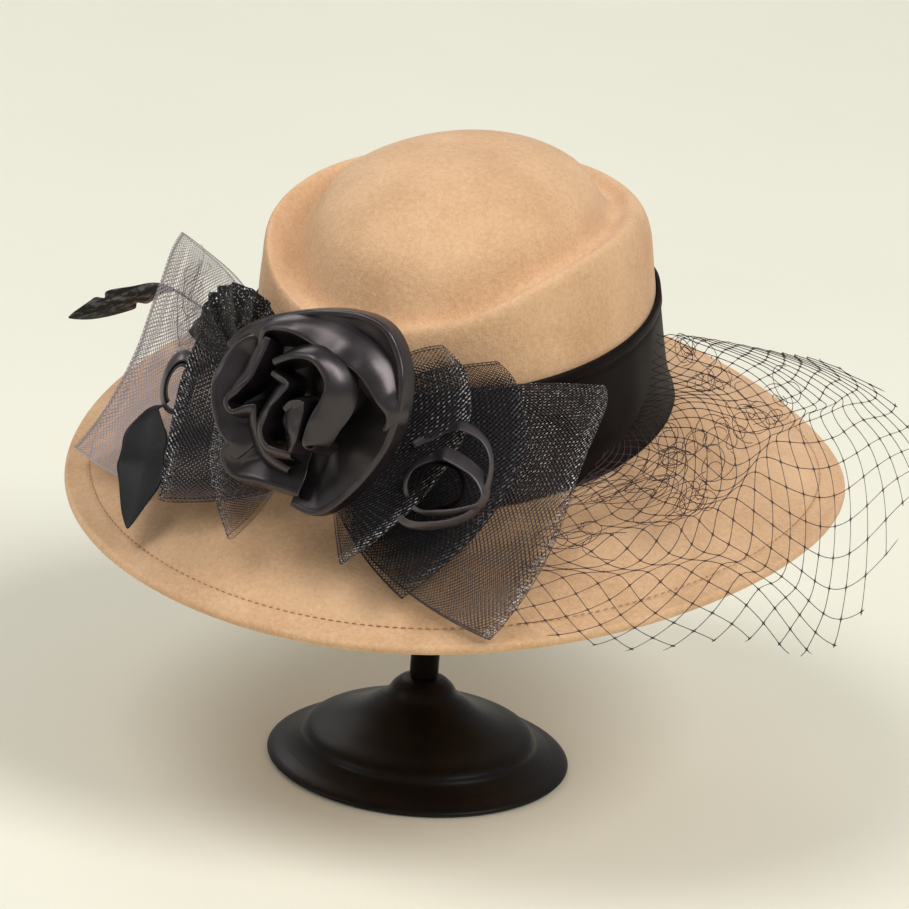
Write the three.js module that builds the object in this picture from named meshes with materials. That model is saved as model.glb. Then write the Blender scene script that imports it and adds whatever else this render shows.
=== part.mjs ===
// A camel wool felt derby with a teardrop crown, a satin band, a satin rose on crinoline loops,
// two feathers and a net veil, tipped forward on a plain display stand.
// Millimetres, +Z up, the hat's front toward -Y and the wearer's left toward +X.
// The origin is the centre of the stand's underside.
import * as THREE from 'three';

// Felt hood: crown and brim
const crownWidth = 172;
const crownLength = 204;
const crownHeight = 115;
const wallLean = 7.5;
const brimRadius = 165.5;
const brimDrop = 27;
const feltWall = 2.2;
const hemThickness = 5;
const hemInset = 12;
const shoulderDepth = 12;
const cornerRadius = 8;

// Crown band
const bandHeight = 50;
const bandThickness = 1.1;
const bandFoldHeight = 5;
const bandFoldThickness = 1.9;

// Trimmings
const clearance = 0.35;
const crinolineWidth = 100;
const crinolineThickness = 1.0;
const roseRadius = 44;
const roseDepth = 36;
const satinThickness = 1.2;
const rosetteRadius = 20;
const featherLength = 62;
const featherThickness = 1.0;
const netThickness = 1.0;
const netCell = 14.5;
const netBar = 0.13;
const seatFillet = 18;

// Pose of the hat on the stand
const hatTip = 7.5;
const hatHeight = 161.4;
const hatShiftX = 3.8;
const hatShiftY = 2.2;

// Stand
const baseRadius = 65;
const baseHeight = 38;
const poleRadius = 6.2;
const padRadius = 50;
const padCap = 60;
const padSkirt = 3;

const facetsAround = 44;
const standFacets = 36;
const rad = THREE.MathUtils.degToRad;
const lerp = THREE.MathUtils.lerp;

// Crown top by turn, 30 degrees a row, from the front toward the wearer's left.
// ridge and dip are heights as shares of crownHeight, ridgeIn and dipIn are shares of the base radius.
const crownTop = [
  { ridge: 0.615, dip: 0.630, ridgeIn: 0.87, dipIn: 0.78 },
  { ridge: 0.685, dip: 0.655, ridgeIn: 0.87, dipIn: 0.76 },
  { ridge: 0.785, dip: 0.745, ridgeIn: 0.86, dipIn: 0.74 },
  { ridge: 0.800, dip: 0.765, ridgeIn: 0.83, dipIn: 0.72 },
  { ridge: 0.775, dip: 0.750, ridgeIn: 0.82, dipIn: 0.71 },
  { ridge: 0.740, dip: 0.722, ridgeIn: 0.82, dipIn: 0.72 },
  { ridge: 0.720, dip: 0.708, ridgeIn: 0.83, dipIn: 0.73 },
  { ridge: 0.735, dip: 0.718, ridgeIn: 0.83, dipIn: 0.73 },
  { ridge: 0.760, dip: 0.730, ridgeIn: 0.83, dipIn: 0.72 },
  { ridge: 0.772, dip: 0.720, ridgeIn: 0.84, dipIn: 0.73 },
  { ridge: 0.750, dip: 0.672, ridgeIn: 0.86, dipIn: 0.74 },
  { ridge: 0.665, dip: 0.622, ridgeIn: 0.87, dipIn: 0.76 },
];

// Dome from the crown's centre to the dip: out as a share of the dip's radius, fall of its depth.
const domeRows = [
  { out: 0.00, fall: 0.00 },
  { out: 0.46, fall: 0.11 },
  { out: 0.82, fall: 0.47 },
];

// Waves of the brim's edge as shares of brimDrop.
const brimWaves = [
  { lobes: 1, cos: 0.02, sin: -0.085 },
  { lobes: 2, cos: -0.09, sin: 0.19 },
  { lobes: 3, cos: 0.00, sin: -0.11 },
];

// Crinoline loops: ends and middle of each fold, and both ends of its gathered root.
// Turns are degrees from the front; rises and lifts are shares of crinolineWidth. ease is how late the
// loop leaves the hat on its way out.
const crinolineLoops = [
  { name: 'crinoline_right_wide', gap: 0.040, ease: 1.6, rootLift: 0.032,
    fold: [{ turn: 74, rise: 0.33, lift: 0.062 }, { turn: 57.5, rise: 0.01, lift: 0.070 },
      { turn: 34.5, rise: -0.71, lift: 0.050 }], root: [{ turn: 8, rise: 0.44 }, { turn: 8, rise: -0.12 }] },
  { name: 'crinoline_right_dark', gap: 0.035, ease: 1.6, rootLift: 0.061,
    fold: [{ turn: 42.5, rise: 0.57, lift: 0.125 }, { turn: 43, rise: 0.12, lift: 0.145 },
      { turn: 22, rise: -0.49, lift: 0.115 }], root: [{ turn: 7, rise: 0.46 }, { turn: 7, rise: -0.08 }] },
  { name: 'crinoline_right_near', gap: 0.035, ease: 1.6, rootLift: 0.090,
    fold: [{ turn: 30, rise: 0.65, lift: 0.175 }, { turn: 31.5, rise: 0.26, lift: 0.195 },
      { turn: 12.5, rise: -0.35, lift: 0.165 }], root: [{ turn: 6, rise: 0.44 }, { turn: 6, rise: -0.04 }] },
  { name: 'crinoline_left_tall', gap: 0.060, ease: 2.4, rootLift: 0.031,
    fold: [{ turn: -59, rise: 0.56, lift: 0.285 }, { turn: -60, rise: 0.00, lift: 0.250 },
      { turn: -57, rise: -0.66, lift: 0.060 }], root: [{ turn: -10, rise: 0.44 }, { turn: -10, rise: -0.10 }] },
  { name: 'crinoline_left_low', gap: 0.035, ease: 1.6, rootLift: 0.060,
    fold: [{ turn: -36, rise: 0.60, lift: 0.150 }, { turn: -33, rise: 0.10, lift: 0.175 },
      { turn: -24.5, rise: -0.36, lift: 0.125 }], root: [{ turn: -9, rise: 0.44 }, { turn: -9, rise: -0.06 }] },
  { name: 'crinoline_left_tail', gap: 0.030, ease: 1.6, rootLift: 0.089,
    fold: [{ turn: -23, rise: 0.20, lift: 0.170 }, { turn: -18, rise: -0.08, lift: 0.165 },
      { turn: -7, rise: -0.35, lift: 0.145 }], root: [{ turn: -8, rise: 0.42 }, { turn: -7, rise: -0.04 }] },
];

// Seats of the two flowers on the loops, as in the table above. faces is the turn that a flower looks to
// and elevation its tip above level, in degrees.
const flowerSeats = {
  rose: { turn: 4, rise: 0.28, lift: 0.21, faces: 4, elevation: 24 },
  rosette: { turn: 27, rise: 0.02, lift: 0.22, faces: 26, elevation: 34 },
};

// Rose petals from the heart out. Angles are degrees from the rose's right, counterclockwise from the front.
// foot, rim and shift are shares of roseRadius, low and high of roseDepth.
const petals = [
  { name: 'rose_petal_1', start: 30, sweep: 300, foot: 0.17, rim: 0.25, low: 0.24, high: 1.00, shift: 0.00 },
  { name: 'rose_petal_2', start: 200, sweep: 260, foot: 0.21, rim: 0.39, low: 0.20, high: 0.96, shift: 0.00 },
  { name: 'rose_petal_3', start: -60, sweep: 190, foot: 0.25, rim: 0.55, low: 0.16, high: 0.90, shift: 0.00 },
  { name: 'rose_petal_4', start: 120, sweep: 200, foot: 0.29, rim: 0.68, low: 0.12, high: 0.82, shift: 0.00 },
  { name: 'rose_petal_5', start: -100, sweep: 215, foot: 0.33, rim: 0.82, low: 0.08, high: 0.74, shift: 0.03 },
  { name: 'rose_petal_6', start: 110, sweep: 190, foot: 0.37, rim: 0.98, low: 0.04, high: 0.62, shift: 0.02 },
  { name: 'rose_petal_7', start: -80, sweep: 235, foot: 0.41, rim: 1.12, low: 0.00, high: 0.56, shift: 0.02 },
];

// Satin ribbon rings of the small rosette, in shares of rosetteRadius, angles as on the rose.
const rosetteRings = [
  { name: 'satin_ring_1', start: 100, sweep: 330, radius: 0.50, rise: 0.30, low: 0.08, high: 0.50 },
  { name: 'satin_ring_2', start: 20, sweep: 330, radius: 0.73, rise: 0.15, low: 0.04, high: 0.46 },
  { name: 'satin_ring_3', start: 200, sweep: 300, radius: 0.96, rise: 0.00, low: 0.00, high: 0.42 },
];

// Ribbon loop left of the rose: a short open tube, its ends' turns and rises, in shares of crinolineWidth.
const ribbonLoop = {
  top: { turn: -45.5, rise: 0.10 }, foot: { turn: -40, rise: -0.06 }, lift: 0.196, across: 1.8, deep: 0.025,
};

// Corners of the folded net behind the rose, in the same shares, and its pleats.
const tuft = {
  root: { turn: -14, rise: 0.50, lift: 0.142 }, first: { turn: -22, rise: 0.74 }, last: { turn: -42, rise: 0.36 },
  lift: 0.22, pleats: 3, pleatDepth: 0.02, edgeDepth: 0.03,
};

// Feathers: stations of the spine, seated as the loops are. width is a share of featherLength, stalk of the
// spine; tilt is how far the blade's width turns from level to upright, face how far round from its spine.
const feathers = [
  { name: 'feather_upper', width: 0.22, stalk: 0.42, tilt: 60, face: 0, spine: [
    { turn: -52, rise: 0.367, lift: 0.003 }, { turn: -74, rise: 0.073, lift: 0.267 },
    { turn: -79, rise: -0.544, lift: 0.323 }] },
  { name: 'feather_lower', width: 0.34, stalk: 0.30, tilt: 0, face: 35, spine: [
    { turn: -32, rise: 0.085, lift: 0.103 }, { turn: -43, rise: -0.181, lift: 0.137 },
    { turn: -31, rise: -0.508, lift: 0.082 }] },
];

// The veil from its front edge to its back edge: turns of its near and far ends, how far out it reaches
// as a share of brimRadius, and heights of its ends and of its puff as shares of crownHeight.
const veilRows = [
  { root: 79, turn: 42, out: 0.97, far: -0.13, near: 0.09, puff: 0.05 },
  { root: 82, turn: 52, out: 1.08, far: -0.20, near: 0.10, puff: 0.10 },
  { root: 86, turn: 64, out: 1.18, far: -0.20, near: 0.12, puff: 0.14 },
  { root: 91, turn: 78, out: 1.25, far: -0.32, near: 0.15, puff: 0.26 },
  { root: 97, turn: 90, out: 1.26, far: 0.10, near: 0.20, puff: 0.12 },
  { root: 103, turn: 101, out: 1.15, far: 0.26, near: 0.28, puff: 0.06 },
  { root: 109, turn: 111, out: 0.92, far: 0.30, near: 0.36, puff: 0.02 },
];

// Turning lathe profile of the base: r as a share of baseRadius, z of baseHeight.
const baseRows = [
  { r: 0.97, z: 0.00 }, { r: 0.99, z: 0.02 }, { r: 1.00, z: 0.05 }, { r: 0.97, z: 0.09 },
  { r: 0.88, z: 0.15 }, { r: 0.79, z: 0.24 }, { r: 0.76, z: 0.32 }, { r: 0.71, z: 0.38 },
  { r: 0.57, z: 0.46 }, { r: 0.42, z: 0.58 }, { r: 0.31, z: 0.71 }, { r: 0.24, z: 0.80 },
  { r: 0.20, z: 0.90 }, { r: 0.155, z: 0.97 }, { r: 0.11, z: 1.00 },
];

const felt = new THREE.MeshStandardMaterial({ name: 'camel_felt', color: 0xc69a6b, roughness: 0.95 });
const satin = new THREE.MeshStandardMaterial({ name: 'black_satin', color: 0x141214, roughness: 0.35 });
const crinoline = new THREE.MeshStandardMaterial({ name: 'black_crinoline', color: 0x1c1b20, roughness: 0.6 });
const net = new THREE.MeshStandardMaterial({ name: 'black_net', color: 0x1a1517, roughness: 0.7 });
const feather = new THREE.MeshStandardMaterial({ name: 'black_feather', color: 0x0e0d10, roughness: 0.6 });
const lacquer = new THREE.MeshStandardMaterial({ name: 'stand_black', color: 0x17110f, roughness: 0.4 });

// Closed body from points and triangles, turned so that its faces point out.
function closedGeometry(points, faces) {
  let volume = 0;
  for (const [a, b, c] of faces) {
    volume += points[a].dot(new THREE.Vector3().crossVectors(points[b], points[c]));
  }
  const index = volume < 0 ? faces.map(([a, b, c]) => [a, c, b]) : faces;
  const geometry = new THREE.BufferGeometry();
  geometry.setAttribute('position', new THREE.Float32BufferAttribute(points.flatMap((p) => p.toArray()), 3));
  geometry.setIndex(index.flat());
  geometry.computeVertexNormals();
  return geometry;
}

// Sheet of even thickness about surface(u, v), u and v from 0 to 1, closed round its border.
function sheet(surface, stepsU, stepsV, thickness) {
  const points = [];
  const small = 1e-3;
  for (const side of [0.5, -0.5]) {
    for (let i = 0; i <= stepsU; i += 1) {
      for (let j = 0; j <= stepsV; j += 1) {
        const u = i / stepsU;
        const v = j / stepsV;
        const alongU = surface(Math.min(u + small, 1), v).sub(surface(Math.max(u - small, 0), v));
        const alongV = surface(u, Math.min(v + small, 1)).sub(surface(u, Math.max(v - small, 0)));
        const normal = alongU.cross(alongV).normalize();
        points.push(surface(u, v).addScaledVector(normal, side * thickness));
      }
    }
  }
  const count = (stepsU + 1) * (stepsV + 1);
  const at = (i, j) => i * (stepsV + 1) + j;
  const faces = [];
  const quad = (a, b, c, d) => faces.push([a, b, c], [a, c, d]);
  for (let i = 0; i < stepsU; i += 1) {
    for (let j = 0; j < stepsV; j += 1) {
      quad(at(i, j), at(i + 1, j), at(i + 1, j + 1), at(i, j + 1));
      quad(count + at(i, j), count + at(i, j + 1), count + at(i + 1, j + 1), count + at(i + 1, j));
    }
  }
  const border = (a, b) => quad(b, a, count + a, count + b);
  for (let i = 0; i < stepsU; i += 1) {
    border(at(i, 0), at(i + 1, 0));
    border(at(i + 1, stepsV), at(i, stepsV));
  }
  for (let j = 0; j < stepsV; j += 1) {
    border(at(stepsU, j), at(stepsU, j + 1));
    border(at(0, j + 1), at(0, j));
  }
  return closedGeometry(points, faces);
}

// Ring of profiles: profile(turn) gives a list of points, joined round the vertical axis.
// With poles the list starts and ends on the axis, without them it closes on itself.
function turned(profile, poles) {
  const points = [];
  const columns = [];
  for (let i = 0; i < facetsAround; i += 1) {
    const list = profile(360 * i / facetsAround);
    if (poles && i > 0) {
      list[0] = null;
      list[list.length - 1] = null;
    }
    columns.push(list.map((point, row) => {
      if (point === null) return columns[0][row];
      points.push(point);
      return points.length - 1;
    }));
  }
  const rows = columns[0].length;
  const last = poles ? rows - 1 : rows;
  const faces = [];
  for (let i = 0; i < facetsAround; i += 1) {
    const here = columns[i];
    const next = columns[(i + 1) % facetsAround];
    for (let j = 0; j < last; j += 1) {
      const k = (j + 1) % rows;
      if (here[j] !== next[j]) faces.push([here[j], next[j], next[k]]);
      if (here[k] !== next[k]) faces.push([here[j], next[k], here[k]]);
    }
  }
  return closedGeometry(points, faces);
}

// Point of the hat at a turn from the front, a radius and a height.
function place(turn, radius, height) {
  return new THREE.Vector3(radius * Math.sin(rad(turn)), -radius * Math.cos(rad(turn)), height);
}

function baseOval(turn) {
  const across = Math.sin(rad(turn)) / (crownWidth / 2);
  const along = Math.cos(rad(turn)) / (crownLength / 2);
  return 1 / Math.hypot(across, along);
}

function edgeHeight(turn) {
  let height = -1;
  for (const { lobes, cos, sin } of brimWaves) {
    height += cos * Math.cos(lobes * rad(turn)) + sin * Math.sin(lobes * rad(turn));
  }
  return height * brimDrop;
}

// Smooth value of a column in rows that go once round the hat.
function around(rows, column, turn) {
  const step = ((turn / 360) % 1 + 1) % 1 * rows.length;
  const i = Math.floor(step);
  const t = step - i;
  const [a, b, c, d] = [-1, 0, 1, 2].map((k) => rows[(i + k + rows.length) % rows.length][column]);
  return b + 0.5 * t * (c - a + t * (2 * a - 5 * b + 4 * c - d + t * (3 * (b - c) + d - a)));
}

// Directions up the crown wall and out along the brim, as radius and height.
function wallDirection() {
  return new THREE.Vector2(-Math.sin(rad(wallLean)), Math.cos(rad(wallLean)));
}

function brimDirection(turn) {
  return new THREE.Vector2(brimRadius - baseOval(turn), edgeHeight(turn)).normalize();
}

// Skin of the felt as a spline of radius and height, from the crown's centre to the brim's edge.
function skinSpline(turn) {
  const oval = baseOval(turn);
  const dipRadius = oval * around(crownTop, 'dipIn', turn);
  const dipHeight = crownHeight * around(crownTop, 'dip', turn);
  const ridgeRadius = oval * around(crownTop, 'ridgeIn', turn);
  const ridgeHeight = crownHeight * around(crownTop, 'ridge', turn);
  const wall = (height) => new THREE.Vector2(oval - height * Math.tan(rad(wallLean)), height);
  const out = brimDirection(turn);
  const brimReach = (brimRadius - oval) / out.x;
  const brim = (reach) => new THREE.Vector2(oval + out.x * reach, out.y * reach);
  return new THREE.SplineCurve([
    ...domeRows.map((row) => new THREE.Vector2(dipRadius * row.out, lerp(crownHeight, dipHeight, row.fall))),
    new THREE.Vector2(dipRadius, dipHeight),
    new THREE.Vector2(ridgeRadius, ridgeHeight),
    wall(ridgeHeight - shoulderDepth),
    wall(bandHeight),
    wall(cornerRadius),
    brim(cornerRadius),
    brim(brimReach / 2),
    brim(brimReach - hemInset),
    brim(brimReach - hemThickness / 2),
  ]);
}

// Outside of the band over the felt wall.
const bandSkin = clearance + bandThickness;

const skinRows = 11;
const bandTopRow = 6;
const bandFootRow = 7.5;

// Point at a row of the skin, moved out along its normal.
function skinPoint(spline, row, lift) {
  const point = spline.getPoint(row / skinRows);
  const tangent = spline.getTangent(row / skinRows);
  return point.add(new THREE.Vector2(-tangent.y, tangent.x).multiplyScalar(lift));
}

function feltBody() {
  const steps = (from, to, step) => {
    const list = [];
    for (let row = from; Math.sign(step) * (to - row) >= 0; row += step) list.push(row);
    return list;
  };
  const hemGrow = (row) => Math.max(0, row - (skinRows - 1)) * (hemThickness - feltWall) / 2;
  const profile = (turn) => {
    const spline = skinSpline(turn);
    const outer = steps(0.5, skinRows, 0.5).map((row) => skinPoint(spline, row, hemGrow(row)));
    const inner = [11, 10, 9, 8, 7.5, 7, 6, 5, 4.5, 4, 3, 2, 1, 0.5].map(
      (row) => skinPoint(spline, row, -feltWall - hemGrow(row)));
    const rim = outer[outer.length - 1];
    const under = inner[0];
    const middle = rim.clone().add(under).multiplyScalar(0.5);
    const half = rim.clone().sub(middle);
    const outward = new THREE.Vector2(half.y, -half.x);
    const hem = [45, 90, 135].map((angle) => middle.clone()
      .addScaledVector(half, Math.cos(rad(angle))).addScaledVector(outward, Math.sin(rad(angle))));
    const top = new THREE.Vector2(0, crownHeight);
    const ceiling = new THREE.Vector2(0, crownHeight - feltWall);
    return [top, ...outer, ...hem, ...inner, ceiling].map((p) => place(turn, p.x, p.y));
  };
  return turned(profile, true);
}

function crownBand() {
  const foldRows = bandFoldHeight / bandHeight;
  const profile = (turn) => {
    const spline = skinSpline(turn);
    const inner = [bandTopRow, 6.5, 7, bandFootRow].map((row) => skinPoint(spline, row, clearance));
    const outer = [
      [bandFootRow, bandThickness], [7, bandThickness], [6.5, bandThickness],
      [bandTopRow + foldRows * 1.3, bandThickness], [bandTopRow + foldRows, bandFoldThickness],
      [bandTopRow + foldRows * 0.3, bandFoldThickness], [bandTopRow, bandThickness],
    ].map(([row, thickness]) => skinPoint(spline, row, clearance + thickness));
    return [...inner, ...outer].map((p) => place(turn, p.x, p.y));
  };
  return turned(profile, false);
}

// Surface that the trimmings lie on: up the wall with positive rise, out on the brim with negative rise,
// a lift above the felt, with a fillet in the corner that grows with the lift.
function seat(turn, rise, lift) {
  const wall = wallDirection();
  const brim = brimDirection(turn);
  const offWall = new THREE.Vector2(wall.y, -wall.x);
  const offBrim = new THREE.Vector2(-brim.y, brim.x);
  const fillet = Math.hypot(rise, seatFillet + lift);
  const corner = offWall.clone().add(offBrim).multiplyScalar(lift / (1 + offWall.dot(offBrim)));
  const point = new THREE.Vector2(baseOval(turn), 0).add(corner)
    .addScaledVector(wall, (fillet + rise) / 2).addScaledVector(brim, (fillet - rise) / 2);
  return place(turn, point.x, point.y);
}

// Smooth value of a column along rows from one end to the other.
function along(rows, column, t) {
  const step = Math.min(t * (rows.length - 1), rows.length - 1 - 1e-9);
  const i = Math.floor(step);
  const s = step - i;
  const value = (k) => rows[Math.min(Math.max(k, 0), rows.length - 1)][column];
  const [a, b, c, d] = [i - 1, i, i + 1, i + 2].map(value);
  return b + 0.5 * s * (c - a + s * (2 * a - 5 * b + 4 * c - d + s * (3 * (b - c) + d - a)));
}

// Loop of crinoline braid: out from its gathered root to a round fold, and back under itself.
function crinolineLoop({ fold, root, gap, rootLift, ease }) {
  const legSteps = 3;
  const bendSteps = 3;
  const steps = 2 * legSteps + bendSteps;
  const rootGap = crinolineThickness * 1.6;
  const foldGap = gap * crinolineWidth;
  const surface = (u, v) => {
    const step = u * steps;
    const bend = THREE.MathUtils.clamp((step - legSteps) / bendSteps, 0, 1) * Math.PI;
    const leg = step < legSteps ? step / legSteps : Math.max(0, steps - step) / legSteps;
    const share = Math.min(leg, 1);
    const foldTurn = along(fold, 'turn', v);
    const foldRise = along(fold, 'rise', v) * crinolineWidth;
    const reach = crinolineWidth * 0.8;
    const out = share * (1 - foldGap / 2 / reach) + Math.sin(bend) * foldGap / 2 / reach;
    const turn = lerp(lerp(root[0].turn, root[1].turn, v), foldTurn, out);
    const rise = lerp(lerp(root[0].rise, root[1].rise, v) * crinolineWidth, foldRise, out);
    const lift = lerp(rootLift, along(fold, 'lift', v), out ** ease) * crinolineWidth;
    return seat(turn, rise, lift + Math.cos(bend) * lerp(rootGap, foldGap, share) / 2);
  };
  return sheet(surface, steps, 6, crinolineThickness);
}

// Frame of a flower: right, up and toward the viewer of the flower's face.
function flowerFrame({ turn, rise, lift, faces, elevation }) {
  const origin = seat(turn, rise * crinolineWidth, lift * crinolineWidth);
  const face = place(faces, Math.cos(rad(elevation)), Math.sin(rad(elevation)));
  const right = new THREE.Vector3(Math.cos(rad(faces)), Math.sin(rad(faces)), 0);
  const up = new THREE.Vector3().crossVectors(face, right);
  return (x, y, z) => origin.clone().addScaledVector(right, x).addScaledVector(up, y).addScaledVector(face, z);
}

const roseFrame = flowerFrame(flowerSeats.rose);
const rosetteFrame = flowerFrame(flowerSeats.rosette);

function rosePetal({ start, sweep, foot, rim, low, high, shift }) {
  const surface = (u, v) => {
    const angle = rad(start + sweep * u);
    const height = v * Math.sin(Math.PI * lerp(0.08, 0.92, u)) ** 0.5;
    const radius = roseRadius * lerp(foot, rim, height ** 1.4);
    const x = radius * Math.cos(angle) + shift * roseRadius * height;
    return roseFrame(x, radius * Math.sin(angle), roseDepth * lerp(low, high, height));
  };
  return sheet(surface, 9, 4, satinThickness);
}

function roseHeart() {
  const profile = [
    [0, -0.357], [0.30, -0.357], [0.30, -0.31], [0.14, -0.10], [0.14, 0.88], [0.08, 0.98], [0, 1.0],
  ].map(([r, z]) => new THREE.Vector2(r * roseRadius, z * roseDepth));
  const geometry = new THREE.LatheGeometry(profile, 12);
  geometry.rotateX(Math.PI / 2);
  const position = geometry.getAttribute('position');
  for (let i = 0; i < position.count; i += 1) {
    const point = roseFrame(position.getX(i), position.getY(i), position.getZ(i));
    position.setXYZ(i, point.x, point.y, point.z);
  }
  geometry.computeVertexNormals();
  return geometry;
}

function rosetteRing({ start, sweep, radius, rise, low, high }) {
  const surface = (u, v) => {
    const angle = rad(start + sweep * u);
    const reach = rosetteRadius * radius;
    const height = rosetteRadius * lerp(low, high, v);
    return rosetteFrame(reach * Math.cos(angle), reach * Math.sin(angle) + rise * rosetteRadius, height);
  };
  return sheet(surface, 16, 1, satinThickness);
}

function satinLoop() {
  const { top, foot, lift, across, deep } = ribbonLoop;
  const opening = 30;
  const surface = (u, v) => {
    const angle = rad(lerp(opening - 180, 180 - opening, u));
    const turn = lerp(top.turn, foot.turn, v) + across * Math.sin(angle);
    const rise = lerp(top.rise, foot.rise, v) + deep * Math.cos(angle);
    return seat(turn, rise * crinolineWidth, (lift - deep * Math.cos(angle)) * crinolineWidth);
  };
  return sheet(surface, 10, 3, satinThickness);
}

function featherBlade({ width, stalk, tilt, face, spine }) {
  const centre = (u) => seat(along(spine, 'turn', u), crinolineWidth * along(spine, 'rise', u),
    crinolineWidth * along(spine, 'lift', u));
  const surface = (u, v) => {
    const turn = along(spine, 'turn', u) + face;
    const leaf = Math.max(0, (u - stalk) / (1 - stalk));
    const half = featherLength * (0.015 + width * 0.5 * Math.sin(Math.PI * leaf) ** 0.8 * (1 - 0.3 * leaf));
    const level = new THREE.Vector3(Math.cos(rad(turn)), Math.sin(rad(turn)), 0);
    const side = level.multiplyScalar(Math.cos(rad(tilt))).add(new THREE.Vector3(0, 0, Math.sin(rad(tilt))));
    const ahead = centre(Math.min(u + 0.01, 1)).sub(centre(Math.max(u - 0.01, 0))).normalize();
    side.addScaledVector(ahead, -side.dot(ahead)).normalize();
    return centre(u).addScaledVector(side, (v * 2 - 1) * half);
  };
  return sheet(surface, 10, 2, featherThickness);
}

// Veil: net cut through with one opening a cell, from the band out past the brim's edge.
function veilNet() {
  const edge = veilRows.length - 1;
  const surface = (u, v) => {
    const turn = lerp(along(veilRows, 'root', u), along(veilRows, 'turn', u), v);
    const far = brimRadius * along(veilRows, 'out', u);
    const nearHeight = crownHeight * along(veilRows, 'near', u);
    const near = baseOval(turn) - nearHeight * Math.tan(rad(wallLean)) + bandSkin + clearance + netThickness / 2;
    const puff = crownHeight * along(veilRows, 'puff', u) * Math.sin(Math.PI * v ** 0.8);
    const farHeight = crownHeight * along(veilRows, 'far', u);
    return place(turn, lerp(near, far, v), lerp(nearHeight, farHeight, v) + puff);
  };
  const middle = brimRadius * 0.8;
  const across = Math.round(rad(veilRows[edge].turn - veilRows[0].turn) * middle / netCell);
  const outward = Math.round((brimRadius * 1.1 - crownWidth / 2) / netCell);
  return piercedSheet(surface, across, outward, netThickness);
}

function piercedSheet(surface, stepsU, stepsV, thickness) {
  const points = [];
  const faces = [];
  const small = 1e-3;
  const offset = (u, v, side) => {
    const alongU = surface(Math.min(u + small, 1), v).sub(surface(Math.max(u - small, 0), v));
    const alongV = surface(u, Math.min(v + small, 1)).sub(surface(u, Math.max(v - small, 0)));
    points.push(surface(u, v).addScaledVector(alongU.cross(alongV).normalize(), side * thickness));
    return points.length - 1;
  };
  const quad = (a, b, c, d) => faces.push([a, b, c], [a, c, d]);
  const corners = [0.5, -0.5].map((side) => {
    const grid = [];
    for (let i = 0; i <= stepsU; i += 1) {
      grid.push([]);
      for (let j = 0; j <= stepsV; j += 1) grid[i].push(offset(i / stepsU, j / stepsV, side));
    }
    return grid;
  });
  const around4 = [[0, 0], [1, 0], [1, 1], [0, 1]];
  for (let i = 0; i < stepsU; i += 1) {
    for (let j = 0; j < stepsV; j += 1) {
      const hole = [0.5, -0.5].map((side) => around4.map(([a, b]) => offset(
        (i + netBar + a * (1 - 2 * netBar)) / stepsU, (j + netBar + b * (1 - 2 * netBar)) / stepsV, side)));
      around4.forEach(([a, b], k) => {
        const [c, d] = around4[(k + 1) % 4];
        const [top, under] = [0, 1].map((s) => [corners[s][i + a][j + b], corners[s][i + c][j + d]]);
        const m = (k + 1) % 4;
        quad(top[0], top[1], hole[0][m], hole[0][k]);
        quad(under[1], under[0], hole[1][k], hole[1][m]);
        quad(hole[0][k], hole[0][m], hole[1][m], hole[1][k]);
      });
    }
  }
  const border = (a, b) => quad(corners[0][b[0]][b[1]], corners[0][a[0]][a[1]],
    corners[1][a[0]][a[1]], corners[1][b[0]][b[1]]);
  for (let i = 0; i < stepsU; i += 1) {
    border([i, 0], [i + 1, 0]);
    border([i + 1, stepsV], [i, stepsV]);
  }
  for (let j = 0; j < stepsV; j += 1) {
    border([stepsU, j], [stepsU, j + 1]);
    border([0, j + 1], [0, j]);
  }
  return closedGeometry(points, faces);
}

// Bunch of folded net behind the rose's upper left.
function netTuft() {
  const { root, first, last, lift, pleats, pleatDepth, edgeDepth } = tuft;
  const surface = (u, v) => {
    const turn = lerp(root.turn, lerp(first.turn, last.turn, u), v);
    const rise = lerp(root.rise, lerp(first.rise, last.rise, u), v) + edgeDepth * v * Math.sin(5 * Math.PI * u);
    const height = lerp(root.lift, lift, v) + pleatDepth * v * Math.sin(2 * pleats * Math.PI * u);
    return seat(turn, rise * crinolineWidth, height * crinolineWidth);
  };
  return sheet(surface, 4 * pleats, 3, netThickness);
}

function standBase() {
  const rows = baseRows.map(({ r, z }) => new THREE.Vector2(r * baseRadius, z * baseHeight));
  const profile = [new THREE.Vector2(0, 0), ...rows, new THREE.Vector2(0, baseHeight)];
  return new THREE.LatheGeometry(profile, standFacets).rotateX(Math.PI / 2);
}

function standPole(height) {
  return new THREE.CylinderGeometry(poleRadius, poleRadius, height, 16).rotateX(Math.PI / 2);
}

// Rounded pad that the crown rests on, flat below, with its origin at the centre of its sphere.
function standPad() {
  const rows = [0, 0.25, 0.5, 0.75, 1].map((share) => new THREE.Vector2(
    padRadius * Math.sin(rad(padCap * share)), padRadius * Math.cos(rad(padCap * share))));
  const foot = padRadius * Math.cos(rad(padCap)) - padSkirt;
  const profile = [...rows, new THREE.Vector2(rows[4].x, foot), new THREE.Vector2(0, foot)];
  return new THREE.LatheGeometry(profile.reverse(), 24).rotateX(Math.PI / 2);
}

const root = new THREE.Group();

function add(parent, name, geometry, material) {
  const mesh = new THREE.Mesh(geometry, material);
  mesh.name = name;
  parent.add(mesh);
  return mesh;
}

const hat = new THREE.Group();
hat.position.set(hatShiftX, hatShiftY, hatHeight);
hat.rotation.x = rad(hatTip);
root.add(hat);

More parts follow.
